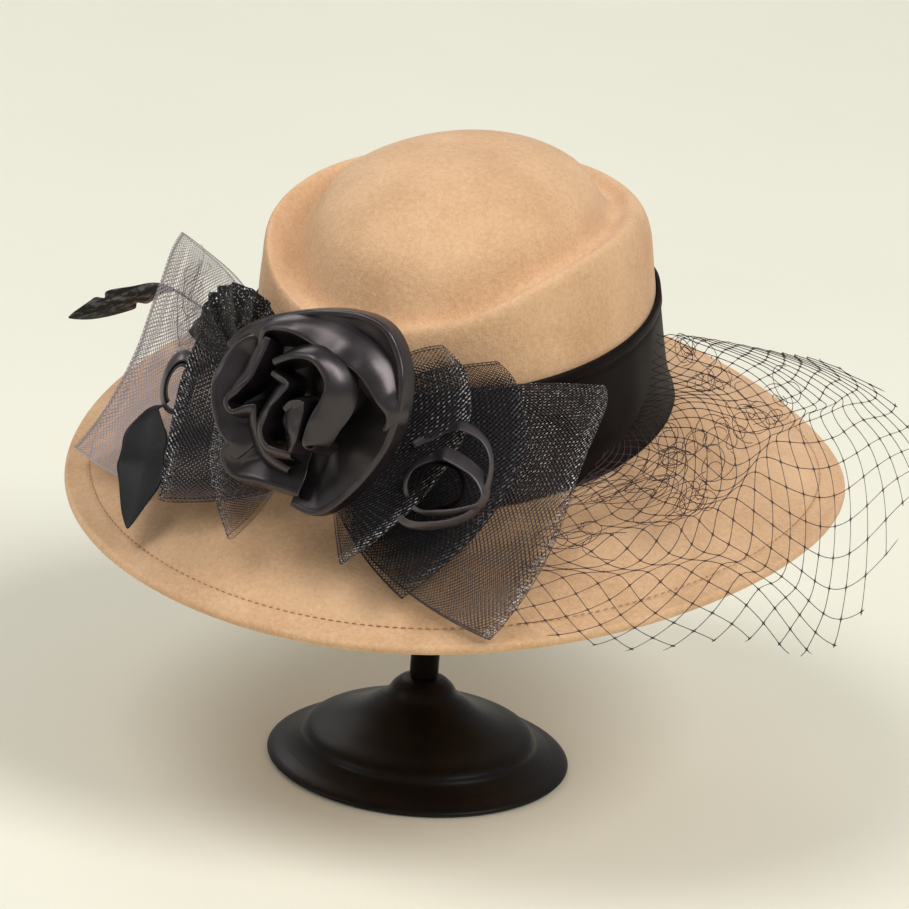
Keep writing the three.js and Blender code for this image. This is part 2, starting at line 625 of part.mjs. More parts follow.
add(hat, 'felt_body', feltBody(), felt);
add(hat, 'crown_band', crownBand(), satin);
crinolineLoops.forEach((row) => add(hat, row.name, crinolineLoop(row), crinoline));
add(hat, 'rose_heart', roseHeart(), satin);
petals.forEach((row) => add(hat, row.name, rosePetal(row), satin));
rosetteRings.forEach((row) => add(hat, row.name, rosetteRing(row), satin));
add(hat, 'satin_loop_left', satinLoop(), satin);
feathers.forEach((row) => add(hat, row.name, featherBlade(row), feather));
add(hat, 'net_tuft', netTuft(), net);
add(hat, 'veil', veilNet(), net);

// The pad meets the inside of the dome at the crown's centre.
const padDrop = crownHeight - feltWall - 2 * clearance - padRadius;
const padCentre = new THREE.Vector3(0, 0, padDrop).applyEuler(hat.rotation).add(hat.position);
const pad = add(root, 'stand_pad', standPad(), lacquer);
pad.position.copy(padCentre);
add(root, 'stand_base', standBase(), lacquer);
const padFoot = padCentre.z + padRadius * Math.cos(rad(padCap)) - padSkirt;
const poleHeight = padFoot - baseHeight - 2 * clearance;
const pole = add(root, 'stand_pole', standPole(poleHeight), lacquer);
pole.position.z = baseHeight + clearance + poleHeight / 2;

export default root;
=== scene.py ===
"""A camel wool felt derby hat with its trimmings, dressed and lit on a plain display stand.

Lengths are metres in the part's frame: +Z up, the hat's front toward -Y, the wearer's left toward +X and
the origin at the centre of the stand's underside. "turn" is degrees from the hat's front toward +X, seen
round the hat's own axis. The hat stands tipped forward, so its pieces are worked out in the hat's frame
and then placed.
"""

import logging
import math
from dataclasses import dataclass, field, replace
from enum import Enum

import bpy
import numpy as np
from mathutils import Matrix, Vector


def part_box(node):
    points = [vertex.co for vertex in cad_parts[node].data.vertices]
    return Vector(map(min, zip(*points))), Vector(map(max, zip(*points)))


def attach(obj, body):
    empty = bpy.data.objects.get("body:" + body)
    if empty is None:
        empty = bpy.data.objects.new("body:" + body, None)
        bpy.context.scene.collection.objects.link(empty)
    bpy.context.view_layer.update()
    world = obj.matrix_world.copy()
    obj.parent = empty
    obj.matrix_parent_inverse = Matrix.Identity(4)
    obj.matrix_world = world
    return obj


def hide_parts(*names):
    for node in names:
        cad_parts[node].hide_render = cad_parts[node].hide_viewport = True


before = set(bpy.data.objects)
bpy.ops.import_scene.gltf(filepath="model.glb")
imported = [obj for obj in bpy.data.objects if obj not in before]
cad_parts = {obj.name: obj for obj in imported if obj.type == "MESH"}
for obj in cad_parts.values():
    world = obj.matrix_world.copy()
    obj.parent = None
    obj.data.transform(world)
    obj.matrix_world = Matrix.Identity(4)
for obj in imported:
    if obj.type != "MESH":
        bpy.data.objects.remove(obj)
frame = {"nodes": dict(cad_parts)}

log = logging.getLogger("hat")
MM = 0.001
BODY = "root"
NARROWEST = 10.1 * MM


class Side(Enum):
    """Which way a light panel stands from the hat."""

    KEY = "key"
    TOP = "top"
    FILL = "fill"
    RIM = "rim"


class Weave(Enum):
    """How closely a crinoline loop is woven."""

    OPEN = 0.17
    MEDIUM = 0.10
    CLOSE = 0.42


# Shader building


class Term:
    """A socket whose arithmetic adds Math nodes."""

    def __init__(self, sheet: "Sheet", socket: bpy.types.NodeSocket) -> None:
        """Keeps a socket.

        Args:
            sheet: the node sheet that the socket is on.
            socket: an output socket that carries a number.
        """
        self.sheet = sheet
        self.socket = socket

    def _join(self, operation: str, *others: "Term | float") -> "Term":
        """Adds one Math node.

        Args:
            operation: the Math node's operation.
            others: its inputs in order.

        Returns:
            The result as a term.
        """
        node = self.sheet.add("ShaderNodeMath", {"operation": operation}, dict(enumerate(others)))
        return Term(self.sheet, node.outputs[0])

    def __add__(self, other: "Term | float") -> "Term":
        """Sum."""
        return self._join("ADD", self, other)

    __radd__ = __add__

    def __sub__(self, other: "Term | float") -> "Term":
        """Difference."""
        return self._join("SUBTRACT", self, other)

    def __rsub__(self, other: "Term | float") -> "Term":
        """Difference from a plain number."""
        return self._join("SUBTRACT", other, self)

    def __mul__(self, other: "Term | float") -> "Term":
        """Product."""
        return self._join("MULTIPLY", self, other)

    __rmul__ = __mul__

    def __truediv__(self, other: "Term | float") -> "Term":
        """Quotient."""
        return self._join("DIVIDE", self, other)

    def __lt__(self, other: "Term | float") -> "Term":
        """1 where this is less."""
        return self._join("LESS_THAN", self, other)

    def __gt__(self, other: "Term | float") -> "Term":
        """1 where this is greater."""
        return self._join("GREATER_THAN", self, other)

    def fraction(self) -> "Term":
        """Part after the point."""
        return self._join("FRACT", self)

    def size(self) -> "Term":
        """Absolute value."""
        return self._join("ABSOLUTE", self)

    def sine(self) -> "Term":
        """Sine of radians."""
        return self._join("SINE", self)

    def most(self, other: "Term | float") -> "Term":
        """The larger of two."""
        return self._join("MAXIMUM", self, other)

    def step(self, low: float, high: float) -> "Term":
        """Smooth rise.

        Args:
            low: value where the result is 0.
            high: value where the result is 1.

        Returns:
            0 to 1 between them, eased at both ends.
        """
        node = self.sheet.add(
            "ShaderNodeMapRange", {"interpolation_type": "SMOOTHSTEP"}, {"Value": self, "From Min": low, "From Max": high}
        )
        return Term(self.sheet, node.outputs["Result"])


class Sheet:
    """One material's node sheet with its Principled shader."""

    def __init__(self, name: str) -> None:
        """Starts a material.

        Args:
            name: the material's name.
        """
        self.material = bpy.data.materials.new(name)
        self.material.use_nodes = True
        self.tree = self.material.node_tree
        self.shader = self.tree.nodes["Principled BSDF"]

    def add(self, kind: str, settings: dict, inputs: dict) -> bpy.types.Node:
        """Adds any node.

        Args:
            kind: the node's type.
            settings: attributes that are set first; "stops" fills a colour ramp.
            inputs: values, terms or sockets by input name or number.

        Returns:
            The node.
        """
        node = self.tree.nodes.new(kind)
        for key, value in settings.items():
            if key == "stops":
                ramp = node.color_ramp
                while len(ramp.elements) < len(value):
                    ramp.elements.new(0.5)
                for element, (place, colour) in zip(ramp.elements, value):
                    element.position = place
                    element.color = (*colour, 1.0)
            else:
                setattr(node, key, value)
        for key, value in inputs.items():
            socket = node.inputs[key]
            if isinstance(value, Term):
                self.tree.links.new(value.socket, socket)
            elif isinstance(value, bpy.types.NodeSocket):
                self.tree.links.new(value, socket)
            else:
                socket.default_value = value
        return node

    def place(self) -> bpy.types.NodeSocket:
        """Object coordinates."""
        return self.add("ShaderNodeTexCoord", {}, {}).outputs["Object"]

    def along(self) -> tuple[Term, Term]:
        """The piece's own map in metres, as two terms."""
        node = self.add("ShaderNodeSeparateXYZ", {}, {0: self.add("ShaderNodeTexCoord", {}, {}).outputs["UV"]})
        return Term(self, node.outputs[0]), Term(self, node.outputs[1])

    def joined(self, x: "Term | float", y: "Term | float", z: "Term | float" = 0.0) -> bpy.types.NodeSocket:
        """Vector of three terms.

        Args:
            x: first part.
            y: second part.
            z: third part.

        Returns:
            The vector's socket.
        """
        return self.add("ShaderNodeCombineXYZ", {}, {0: x, 1: y, 2: z}).outputs[0]

    def noise(self, scale: float, detail: float = 2.0, where: bpy.types.NodeSocket | None = None) -> Term:
        """Noise as a term.

        Args:
            scale: repeats a metre.
            detail: octaves.
            where: coordinates, or None for Object coordinates.

        Returns:
            About 0 to 1.
        """
        node = self.add(
            "ShaderNodeTexNoise", {}, {"Vector": where or self.place(), "Scale": scale, "Detail": detail, "Roughness": 0.55}
        )
        return Term(self, node.outputs["Fac"])

    def mix(self, share: "Term | float", low: tuple | bpy.types.NodeSocket, high: tuple | bpy.types.NodeSocket) -> bpy.types.NodeSocket:
        """Colour between two.

        Args:
            share: 0 for the first colour, 1 for the second.
            low: first colour.
            high: second colour.

        Returns:
            The colour's socket.
        """
        pair = [(*c, 1.0) if isinstance(c, tuple) else c for c in (low, high)]
        node = self.add("ShaderNodeMix", {"data_type": "RGBA"}, {0: share, 6: pair[0], 7: pair[1]})
        return node.outputs[2]

    def bump(self, height: Term, distance: float, strength: float = 1.0) -> None:
        """Feeds the shader's Normal from a height.

        Args:
            height: height, 0 to 1.
            distance: metres for a height of 1.
            strength: share of the effect.
        """
        node = self.add("ShaderNodeBump", {}, {"Height": height, "Distance": distance, "Strength": strength})
        self.tree.links.new(node.outputs[0], self.shader.inputs["Normal"])

    def set(self, **values: object) -> None:
        """Sets or links the shader's inputs.

        Args:
            values: input names with _ for a space.
        """
        for key, value in values.items():
            socket = self.shader.inputs[key.replace("_", " ")]
            if isinstance(value, Term):
                self.tree.links.new(value.socket, socket)
            elif isinstance(value, bpy.types.NodeSocket):
                self.tree.links.new(value, socket)
            elif isinstance(value, tuple) and len(value) == 3 and socket.type == "RGBA":
                socket.default_value = (*value, 1.0)
            else:
                socket.default_value = value


# Finishes


@dataclass(frozen=True)
class FeltFinish:
    """Brushed wool felt: short nap, faint mottling, soft sheen."""

    light: tuple[float, float, float] = (0.725, 0.470, 0.280)
    dark: tuple[float, float, float] = (0.525, 0.305, 0.160)
    nap: float = 1500.0

    def material(self) -> bpy.types.Material:
        """Builds the felt."""
        s = Sheet("camel_felt")
        cloud = s.noise(26.0, 3.0)
        nap = s.noise(self.nap, 3.0)
        hair = s.noise(self.nap * 0.33, 4.0)
        tone = (cloud * 0.45 + nap * 0.35 + hair * 0.35).step(0.36, 0.78)
        s.set(Base_Color=s.mix(tone, self.dark, self.light), Roughness=0.94, Sheen_Weight=0.35, Sheen_Roughness=0.45)
        s.set(Sheen_Tint=(1.0, 0.86, 0.72), Specular_IOR_Level=0.18)
        s.bump(nap * 0.45 + hair * 0.55, 0.0008, 0.7)
        return s.material


@dataclass(frozen=True)
class SatinFinish:
    """Black polyester satin: broad soft highlights and a fine weave."""

    name: str = "black_satin"
    colour: tuple[float, float, float] = (0.0060, 0.0045, 0.0055)
    roughness: float = 0.26
    gloss: float = 0.72
    weave: float = 5200.0

    def material(self) -> bpy.types.Material:
        """Builds the satin."""
        s = Sheet(self.name)
        cloud = s.noise(60.0, 2.0)
        weave = s.noise(self.weave, 1.0)
        s.set(Base_Color=s.mix(cloud.step(0.3, 0.7), self.colour, tuple(1.7 * c for c in self.colour)))
        s.set(Roughness=cloud * 0.10 + weave * 0.08 + (self.roughness - 0.05), Specular_IOR_Level=self.gloss)
        s.set(Specular_Tint=(1.0, 0.88, 0.91))
        s.bump(weave * 0.5 + s.noise(420.0, 2.0) * 0.5, 0.00025, 0.28)
        return s.material


@dataclass(frozen=True)
class CrinolineFinish:
    """Horsehair braid on the bias: see-through between its threads, with metallic dashes most by its fold."""

    name: str
    weave: Weave = Weave.MEDIUM
    thread: tuple[float, float, float] = (0.009, 0.008, 0.010)
    # lit_thread is a lighter copy of the thread colour: a painted highlight on the first set of threads.
    lit_thread: tuple[float, float, float] = (0.036, 0.033, 0.036)
    metal: tuple[float, float, float] = (0.78, 0.78, 0.82)
    dense: float = 0.052
    width: float = 0.1
    length: float = 0.18
    glitter: float = 1.0
    coarse: float = 1.50 * MM
    fine: float = 1.25 * MM

    def material(self) -> bpy.types.Material:
        """Builds the braid: two slanting sets of threads, and dashes on every other crossing of the first set."""
        s = Sheet(self.name)
        along, across = s.along()
        place = s.joined(along, across)
        step = 1.414 * (self.coarse if self.weave is Weave.CLOSE else self.fine)
        wander = s.noise(70.0, 2.0, place) * (0.6 * step)
        one = (along + across + wander) / step
        two = (along - across + wander) / step
        off_one = (one.fraction() - 0.5).size()
        off_two = (two.fraction() - 0.5).size()
        to_edge = 0.5 * self.width - (across - 0.5 * self.width).size()
        open_half = 0.5 * min(self.weave.value, Weave.MEDIUM.value)
        half = to_edge.step(0.005, 0.024) * (0.5 * self.weave.value - open_half) + open_half
        first = 1.0 - (off_one - half).step(0.0, 0.09)
        second = 1.0 - (off_two - half).step(0.0, 0.09)
        thread = first.most(second)
        over = ((one - one.fraction() + two - two.fraction()) * 0.5 + 0.25).fraction() < 0.5
        off_fold = (along - 0.5 * self.length).size()
        fold = (1.0 - off_fold.step(0.002, 0.009)) * min(1.0, 2.0 * self.glitter)
        dash = over.most(fold > 0.1) * (1.0 - off_one.step(0.10, 0.22)) * (1.0 - off_two.step(0.28, 0.44))
        patch = s.noise(95.0, 2.0, place).step(0.44, 0.60)
        missing = s.noise(620.0, 2.0, place).step(0.44, 0.60)
        sparse = 1.0 - across.step(self.dense - 0.012, self.dense + 0.012) * 0.75
        glint = dash * missing * ((patch * 0.55 + 0.45) * sparse * self.glitter).most(fold)
        # The first set of threads is mixed toward lit_thread, a painted highlight along those threads.
        dull = s.mix(first * min(0.8, 0.2 + self.glitter), self.thread, self.lit_thread)
        s.set(Base_Color=s.mix(glint, dull, self.metal), Metallic=glint * 0.4, Roughness=0.55 - glint * 0.2)
        edge = 1.0 - to_edge.step(0.0005, 0.0012)
        crease = 1.0 - off_fold.step(0.0003, 0.0009)
        s.set(Alpha=thread.most(edge * 0.85).most(crease * 0.8), Specular_IOR_Level=0.12)
        s.bump(thread, 0.0002, 0.6)
        return s.material


@dataclass(frozen=True)
class NetFinish:
    """Dark twisted thread of the veil and its knots."""

    name: str = "black_net"
    colour: tuple[float, float, float] = (0.022, 0.012, 0.013)

    def material(self) -> bpy.types.Material:
        """Builds the thread."""
        s = Sheet(self.name)
        fibre = s.noise(2600.0, 1.0)
        s.set(Base_Color=s.mix(fibre, self.colour, tuple(2.4 * c for c in self.colour)), Roughness=fibre * 0.2 + 0.55)
        s.bump(fibre, 0.0002, 0.4)
        return s.material


@dataclass(frozen=True)
class TulleFinish:
    """Close folded net behind the rose: small round holes between dark threads, with painted glints."""

    name: str = "bunched_net"
    pitch: float = 1.7 * MM

    def material(self) -> bpy.types.Material:
        """Builds the net."""
        s = Sheet(self.name)
        along, across = s.along()
        cells = s.add("ShaderNodeTexVoronoi", {"feature": "DISTANCE_TO_EDGE"}, {"Vector": s.joined(along, across), "Scale": 1.0 / self.pitch})
        gap = Term(s, cells.outputs["Distance"])
        thread = 1.0 - gap.step(0.26, 0.38)
        haze = s.noise(160.0, 2.0, s.joined(along, across))
        # Painted glints: pale grey specks on the threads, most where the haze is high.
        painted_glint = s.noise(900.0, 1.0, s.joined(along, across)).step(0.60, 0.72) * (haze * 0.8 + 0.2)
        threads = s.mix(haze, (0.005, 0.004, 0.005), (0.020, 0.017, 0.019))
        s.set(Base_Color=s.mix(painted_glint, threads, (0.42, 0.39, 0.40)), Roughness=0.6, Alpha=thread)
        s.set(Specular_IOR_Level=0.15)
        s.bump(thread, 0.0002, 0.4)
        return s.material


@dataclass(frozen=True)
class FeatherFinish:
    """Dyed feather: slanted barbs either side of the shaft, with a painted sheen in pale tufts."""

    name: str
    sheen_and_split: float = 0.0

    def material(self) -> bpy.types.Material:
        """Builds the feather."""
        s = Sheet(self.name)
        along, across = s.along()
        slant = s.joined(along * 0.55 - across.size(), (along + across.size()) * 0.08)
        barbs = s.noise(1500.0, 2.0, slant)
        tufts = s.noise(150.0, 3.0, s.joined(along, across * 3.0))
        # Painted sheen: pale tufts mixed into the upper feather's colour, with a faint lightening along the barbs.
        pale = tufts.step(0.45, 0.75) * self.sheen_and_split + barbs * 0.03
        s.set(Base_Color=s.mix(pale, (0.004, 0.004, 0.005), (0.34, 0.34, 0.36)), Roughness=0.50 - barbs * 0.10)
        s.set(Specular_IOR_Level=0.18)
        s.bump(barbs * 0.6 + tufts * 0.4, 0.0003, 0.4)
        return s.material


@dataclass(frozen=True)
class LacquerFinish:
    """Satin black lacquer on turned wood, with faint turning rings and a little dust."""

    name: str = "stand_black"
    colour: tuple[float, float, float] = (0.0050, 0.0035, 0.0030)

    def material(self) -> bpy.types.Material:
        """Builds the lacquer."""
        s = Sheet(self.name)
        parts = s.add("ShaderNodeSeparateXYZ", {}, {0: s.place()})
        x, y, z = (Term(s, parts.outputs[k]) for k in range(3))
        radius = (x * x + y * y)._join("POWER", x * x + y * y, 0.5)
        rings = ((radius + z * 0.6) * 4200.0).sine() * 0.5 + 0.5
        dust = s.noise(45.0, 3.0)
        speck = s.noise(1900.0, 2.0)
        s.set(Base_Color=s.mix(dust.step(0.45, 0.8) * 0.5 + speck * 0.15, self.colour, tuple(2.6 * c for c in self.colour)))
        s.set(Roughness=dust * 0.16 + rings * 0.03 + 0.30, Specular_IOR_Level=0.17)
        s.bump(rings * 0.3 + speck * 0.7, 0.00015, 0.22)
        return s.material


# Mesh building


def ripple(x: np.ndarray, y: np.ndarray, seed: int, waves: int = 5, reach: float = 3.0) -> np.ndarray:
    """Smooth random wave: a mean of sines of x and y with seeded directions and phases.

    Args:
        x: first coordinate.
        y: second coordinate.
        seed: choice of the random numbers.
        waves: how many sines.
        reach: the highest frequency, in radians a unit.

    Returns:
        Values from about -1 to 1.
    """
    rng = np.random.default_rng(seed)
    total = np.zeros(np.broadcast(x, y).shape)
    for fx, fy, phase in zip(rng.uniform(-reach, reach, waves), rng.uniform(-reach, reach, waves), rng.uniform(0, 6.28, waves)):
        total = total + np.sin(fx * x + fy * y + phase)
    return total / math.sqrt(waves)


def normals_of(points: np.ndarray) -> np.ndarray:
    """Unit normals of a grid: the cross product of its two differences.

    Args:
        points: grid of points, rows by columns by 3.

    Returns:
        Normals of the same shape.
    """
    down = np.gradient(points, axis=0)
    over = np.gradient(points, axis=1)
    cross = np.cross(down, over)
    return cross / np.maximum(np.linalg.norm(cross, axis=2, keepdims=True), 1e-12)


def quads(rows: int, columns: int, round_rows: bool = False, round_columns: bool = False, start: int = 0) -> np.ndarray:
    """Faces of a grid of vertices.

    Args:
        rows: vertices down.
        columns: vertices across.
        round_rows: join the last row to the first.
        round_columns: join the last column to the first.
        start: index of the first vertex.

    Returns:
        Four vertex indices a face.
    """
    i = np.arange(rows if round_rows else rows - 1)[:, None]
    j = np.arange(columns if round_columns else columns - 1)[None, :]
    a = i * columns + j
    b = (i + 1) % rows * columns + j
    c = (i + 1) % rows * columns + (j + 1) % columns
    d = i * columns + (j + 1) % columns
    return np.stack([a, b, c, d], axis=-1).reshape(-1, 4) + start


def solid_of(name: str, vertices: np.ndarray, faces: list, uv: np.ndarray | None = None, smooth: bool = True) -> bpy.types.Object:
    """Mesh object from vertices and faces, linked to the scene.

    Args:
        name: the piece's name.
        vertices: points, in the row frame.
        faces: arrays of three or four indices a face.
        uv: a map value a vertex, in metres.
        smooth: shade the faces smooth.

    Returns:
        The object.
    """
    mesh = bpy.data.meshes.new(name)
    sizes = np.concatenate([np.full(len(part), part.shape[1]) for part in faces])
    corners = np.concatenate([part.ravel() for part in faces]).astype(np.int32)
    mesh.vertices.add(len(vertices))
    mesh.vertices.foreach_set("co", np.asarray(vertices, np.float32).ravel())
    mesh.loops.add(len(corners))
    mesh.loops.foreach_set("vertex_index", corners)
    mesh.polygons.add(len(sizes))
    starts = np.concatenate([[0], np.cumsum(sizes)[:-1]]).astype(np.int32)
    mesh.polygons.foreach_set("loop_start", starts)
    if uv is not None:
        layer = mesh.uv_layers.new(name="cloth")
        layer.data.foreach_set("uv", np.asarray(uv, np.float32)[corners].ravel())
    mesh.update(calc_edges=True)
    mesh.polygons.foreach_set("use_smooth", np.full(len(sizes), smooth))
    mesh.validate()
    piece = bpy.data.objects.new(name, mesh)
    bpy.context.scene.collection.objects.link(piece)
    return piece


def cloth_map(points: np.ndarray) -> np.ndarray:
    """Map of a grid in metres: mean arc length down the rows and across the columns.

    Args:
        points: grid of points.

    Returns:
        Two numbers a grid point.
    """
    down = np.linalg.norm(np.diff(points, axis=0), axis=2).max(axis=1)
    over = np.linalg.norm(np.diff(points, axis=1), axis=2).max(axis=0)
    u = np.concatenate([[0.0], np.cumsum(down)])
    v = np.concatenate([[0.0], np.cumsum(over)])
    return np.stack(np.meshgrid(u, v, indexing="ij"), axis=-1)


def cloth_of(name: str, points: np.ndarray, thickness: float, uv: np.ndarray | None = None) -> bpy.types.Object:
    """Cloth piece from a grid: one layer of faces, thickened by Solidify where it has a thickness.

    Args:
        name: the piece's name.
        points: grid of points in the row frame.
        thickness: of the cloth, or 0 for a single layer.
        uv: map of the grid, or None to work it out.

    Returns:
        The object.
    """
    rows, columns = points.shape[:2]
    flat = (cloth_map(points) if uv is None else uv).reshape(-1, 2)
    piece = solid_of(name, points.reshape(-1, 3), [quads(rows, columns)], flat)
    if thickness > 0:
        wall = piece.modifiers.new("wall", "SOLIDIFY")
        wall.thickness = thickness
        wall.offset = 0.0
    return piece


def tubes_of(name: str, lines: list[np.ndarray], radius: float, sides: int = 5, swell: list[np.ndarray] | None = None) -> bpy.types.Object:
    """Threads: each line carries a round profile, with its ends drawn to a point.

    Args:
        name: the piece's name.
        lines: points of each thread.
        radius: of the thread.
        sides: of the round profile.
        swell: radius shares along each line, or None.

    Returns:
        The object.
    """
    turn = np.arange(sides) * 2 * np.pi / sides
    vertices = []
    faces = []
    start = 0
    for k, line in enumerate(lines):
        ahead = np.gradient(line, axis=0)
        ahead /= np.maximum(np.linalg.norm(ahead, axis=1, keepdims=True), 1e-12)
        side = np.cross(ahead, np.array([0.31, 0.17, 0.93]))
        side /= np.maximum(np.linalg.norm(side, axis=1, keepdims=True), 1e-12)
        other = np.cross(ahead, side)
        share = np.ones(len(line)) if swell is None else swell[k].copy()
        share[[0, -1]] = 0.05
        reach = (radius * share)[:, None, None]
        ring = line[:, None, :] + reach * (np.cos(turn)[None, :, None] * side[:, None, :] + np.sin(turn)[None, :, None] * other[:, None, :])
        vertices.append(ring.reshape(-1, 3))
        faces.append(quads(len(line), sides, round_columns=True, start=start)[:, ::-1])
        start += len(line) * sides
    return solid_of(name, np.concatenate(vertices), [np.concatenate(faces)])


def dress(piece: bpy.types.Object, material: bpy.types.Material, slot: str, *nodes: str) -> bpy.types.Object:
    """Gives a piece its material and body, and hides the solids that it stands for.

    Args:
        piece: the new piece.
        material: its finish.
        slot: not used.
        nodes: the solids that it replaces.

    Returns:
        The piece.
    """
    piece.data.materials.append(material)
    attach(piece, BODY)
    if nodes:
        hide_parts(*nodes)
    log.info("%s: %d faces, stands for %s", piece.name, len(piece.data.polygons), ", ".join(nodes) or "no solid")
    return piece


# The hat's own shape


@dataclass
class HatBlock:
    """The block that the hood was shaped on: the skin of crown and brim, and the seats of the trimmings."""

    width: float = 172 * MM
    length: float = 204 * MM
    height: float = 115 * MM
    lean: float = math.radians(7.5)
    brim: float = 165.5 * MM
    drop: float = 27 * MM
    shoulder: float = 12 * MM
    corner: float = 8 * MM
    band: float = 50 * MM
    hem_inset: float = 12 * MM
    hem: float = 5 * MM
    braid: float = 100 * MM
    fillet: float = 18 * MM
    tip: float = math.radians(7.5)
    stand: tuple[float, float, float] = (3.8 * MM, 2.2 * MM, 161.4 * MM)
    crown: dict[str, list[float]] = field(default_factory=lambda: {
        "ridge": [0.615, 0.685, 0.785, 0.800, 0.775, 0.740, 0.720, 0.735, 0.760, 0.772, 0.750, 0.665],
        "dip": [0.630, 0.655, 0.745, 0.765, 0.750, 0.722, 0.708, 0.718, 0.730, 0.720, 0.672, 0.622],
        "ridge_in": [0.87, 0.87, 0.86, 0.83, 0.82, 0.82, 0.83, 0.83, 0.83, 0.84, 0.86, 0.87],
        "dip_in": [0.78, 0.76, 0.74, 0.72, 0.71, 0.72, 0.73, 0.73, 0.72, 0.73, 0.74, 0.76],
    })
    dome: tuple = ((0.00, 0.00), (0.46, 0.11), (0.82, 0.47))
    waves: tuple = ((1, 0.02, -0.085), (2, -0.09, 0.19), (3, 0.00, -0.11))

    def oval(self, turn: np.ndarray) -> np.ndarray:
        """Radius of the crown's base: an ellipse in polar form."""
        t = np.radians(turn)
        return 1.0 / np.hypot(np.sin(t) / (self.width / 2), np.cos(t) / (self.length / 2))

    def edge_height(self, turn: np.ndarray) -> np.ndarray:
        """Height of the brim's edge: the drop with a few waves round it."""
        t = np.radians(turn)
        height = -np.ones_like(t)
        for lobes, cos, sin in self.waves:
            height = height + cos * np.cos(lobes * t) + sin * np.sin(lobes * t)
        return height * self.drop

    def around(self, column: str, turn: np.ndarray) -> np.ndarray:
        """Smooth value of a crown column round the hat, by a cubic through its four nearest rows.

        Args:
            column: name in the crown's table.
            turn: degrees from the front.

        Returns:
            The value at each turn.
        """
        rows = np.array(self.crown[column])
        step = np.mod(turn / 360.0, 1.0) * len(rows)
        i = np.floor(step).astype(int)
        t = step - i
        a, b, c, d = (rows[(i + k) % len(rows)] for k in (-1, 0, 1, 2))
        return b + 0.5 * t * (c - a + t * (2 * a - 5 * b + 4 * c - d + t * (3 * (b - c) + d - a)))

    def brim_way(self, turn: np.ndarray) -> np.ndarray:
        """Unit direction out along the brim, as radius and height."""
        way = np.stack([self.brim - self.oval(turn), self.edge_height(turn)], axis=-1)
        return way / np.linalg.norm(way, axis=-1, keepdims=True)

    def controls(self, turn: np.ndarray) -> np.ndarray:
        """Twelve control points of the skin at each turn, as radius and height.

        Args:
            turn: degrees from the front.

        Returns:
            Array of turns by 12 by 2.
        """
        oval = self.oval(turn)
        dip_r = oval * self.around("dip_in", turn)
        dip_z = self.height * self.around("dip", turn)
        ridge_r = oval * self.around("ridge_in", turn)
        ridge_z = self.height * self.around("ridge", turn)
        way = self.brim_way(turn)
        reach = (self.brim - oval) / way[:, 0]
        rows = [(dip_r * out, self.height + (dip_z - self.height) * fall) for out, fall in self.dome]
        rows += [(dip_r, dip_z), (ridge_r, ridge_z)]
        for z in (ridge_z - self.shoulder, self.band + 0 * oval, self.corner + 0 * oval):
            rows.append((oval - z * math.tan(self.lean), z))
        for far in (self.corner + 0 * oval, reach / 2, reach - self.hem_inset, reach - self.hem / 2):
            rows.append((oval + way[:, 0] * far, way[:, 1] * far))
        return np.stack([np.stack(np.broadcast_arrays(r, z), axis=-1) for r, z in rows], axis=1)

    def skin(self, turn: np.ndarray, row: np.ndarray, lift: np.ndarray) -> np.ndarray:
        """Points of the skin moved out along its normal: a cubic spline through the controls.

        Args:
            turn: degrees from the front, one a column.
            row: places along the controls, 0 at the crown's centre and 11 at the edge.
            lift: metres off the skin, rows by columns or one a row.

        Returns:
            Points in the hat's frame, rows by columns by 3.
        """
        p = self.controls(turn)
        last = p.shape[1] - 1
        i = np.minimum(np.floor(row).astype(int), last - 1)
        t = (row - i)[None, :, None]
        a, b, c, d = (p[:, np.clip(i + k, 0, last)] for k in (-1, 0, 1, 2))
        v0 = (c - a) / 2
        v1 = (d - b) / 2
        cubic = 2 * b - 2 * c + v0 + v1
        square = -3 * b + 3 * c - 2 * v0 - v1
        point = cubic * t ** 3 + square * t ** 2 + v0 * t + b
        tangent = 3 * cubic * t ** 2 + 2 * square * t + v0
        tangent /= np.maximum(np.linalg.norm(tangent, axis=-1, keepdims=True), 1e-12)
        normal = np.stack([-tangent[..., 1], tangent[..., 0]], axis=-1)
        lift = np.asarray(lift, float)
        lift = lift[:, None] if lift.ndim == 1 else lift
        point = point.transpose(1, 0, 2) + normal.transpose(1, 0, 2) * lift[..., None]
        return self.ring(turn[None, :], point[..., 0], point[..., 1])

    def ring(self, turn: np.ndarray, radius: np.ndarray, height: np.ndarray) -> np.ndarray:
        """Points at turns, radii and heights in the hat's frame."""
        t = np.radians(turn)
        return np.stack(np.broadcast_arrays(radius * np.sin(t), -radius * np.cos(t), height), axis=-1)

    def seat(self, turn: np.ndarray, rise: np.ndarray, lift: np.ndarray) -> np.ndarray:
        """Surface that trimmings lie on: up the wall, out along the brim, and a hyperbola in the corner between.

        Args:
            turn: degrees from the front.
            rise: metres up the wall, or out on the brim where negative.
            lift: metres above the felt.

        Returns:
            Points in the hat's frame.
        """
        turn, rise, lift = np.broadcast_arrays(turn, rise, lift)
        wall = np.array([-math.sin(self.lean), math.cos(self.lean)])
        off_wall = np.array([wall[1], -wall[0]])
        brim = self.brim_way(turn.ravel()).reshape(*turn.shape, 2)
        off_brim = np.stack([-brim[..., 1], brim[..., 0]], axis=-1)
        curve = np.hypot(rise, self.fillet + lift)
        corner = (off_wall + off_brim) * (lift / (1 + off_brim @ off_wall))[..., None]
        flat = corner + wall * ((curve + rise) / 2)[..., None] + brim * ((curve - rise) / 2)[..., None]
        return self.ring(turn, self.oval(turn) + flat[..., 0], flat[..., 1])

    def placed(self, points: np.ndarray) -> np.ndarray:
        """Moves points from the hat's frame to the stand's: tipped about X, then lifted."""
        x, y, z = points[..., 0], points[..., 1], points[..., 2]
        c, s = math.cos(self.tip), math.sin(self.tip)
        return np.stack([x, y * c - z * s, y * s + z * c], axis=-1) + np.array(self.stand)


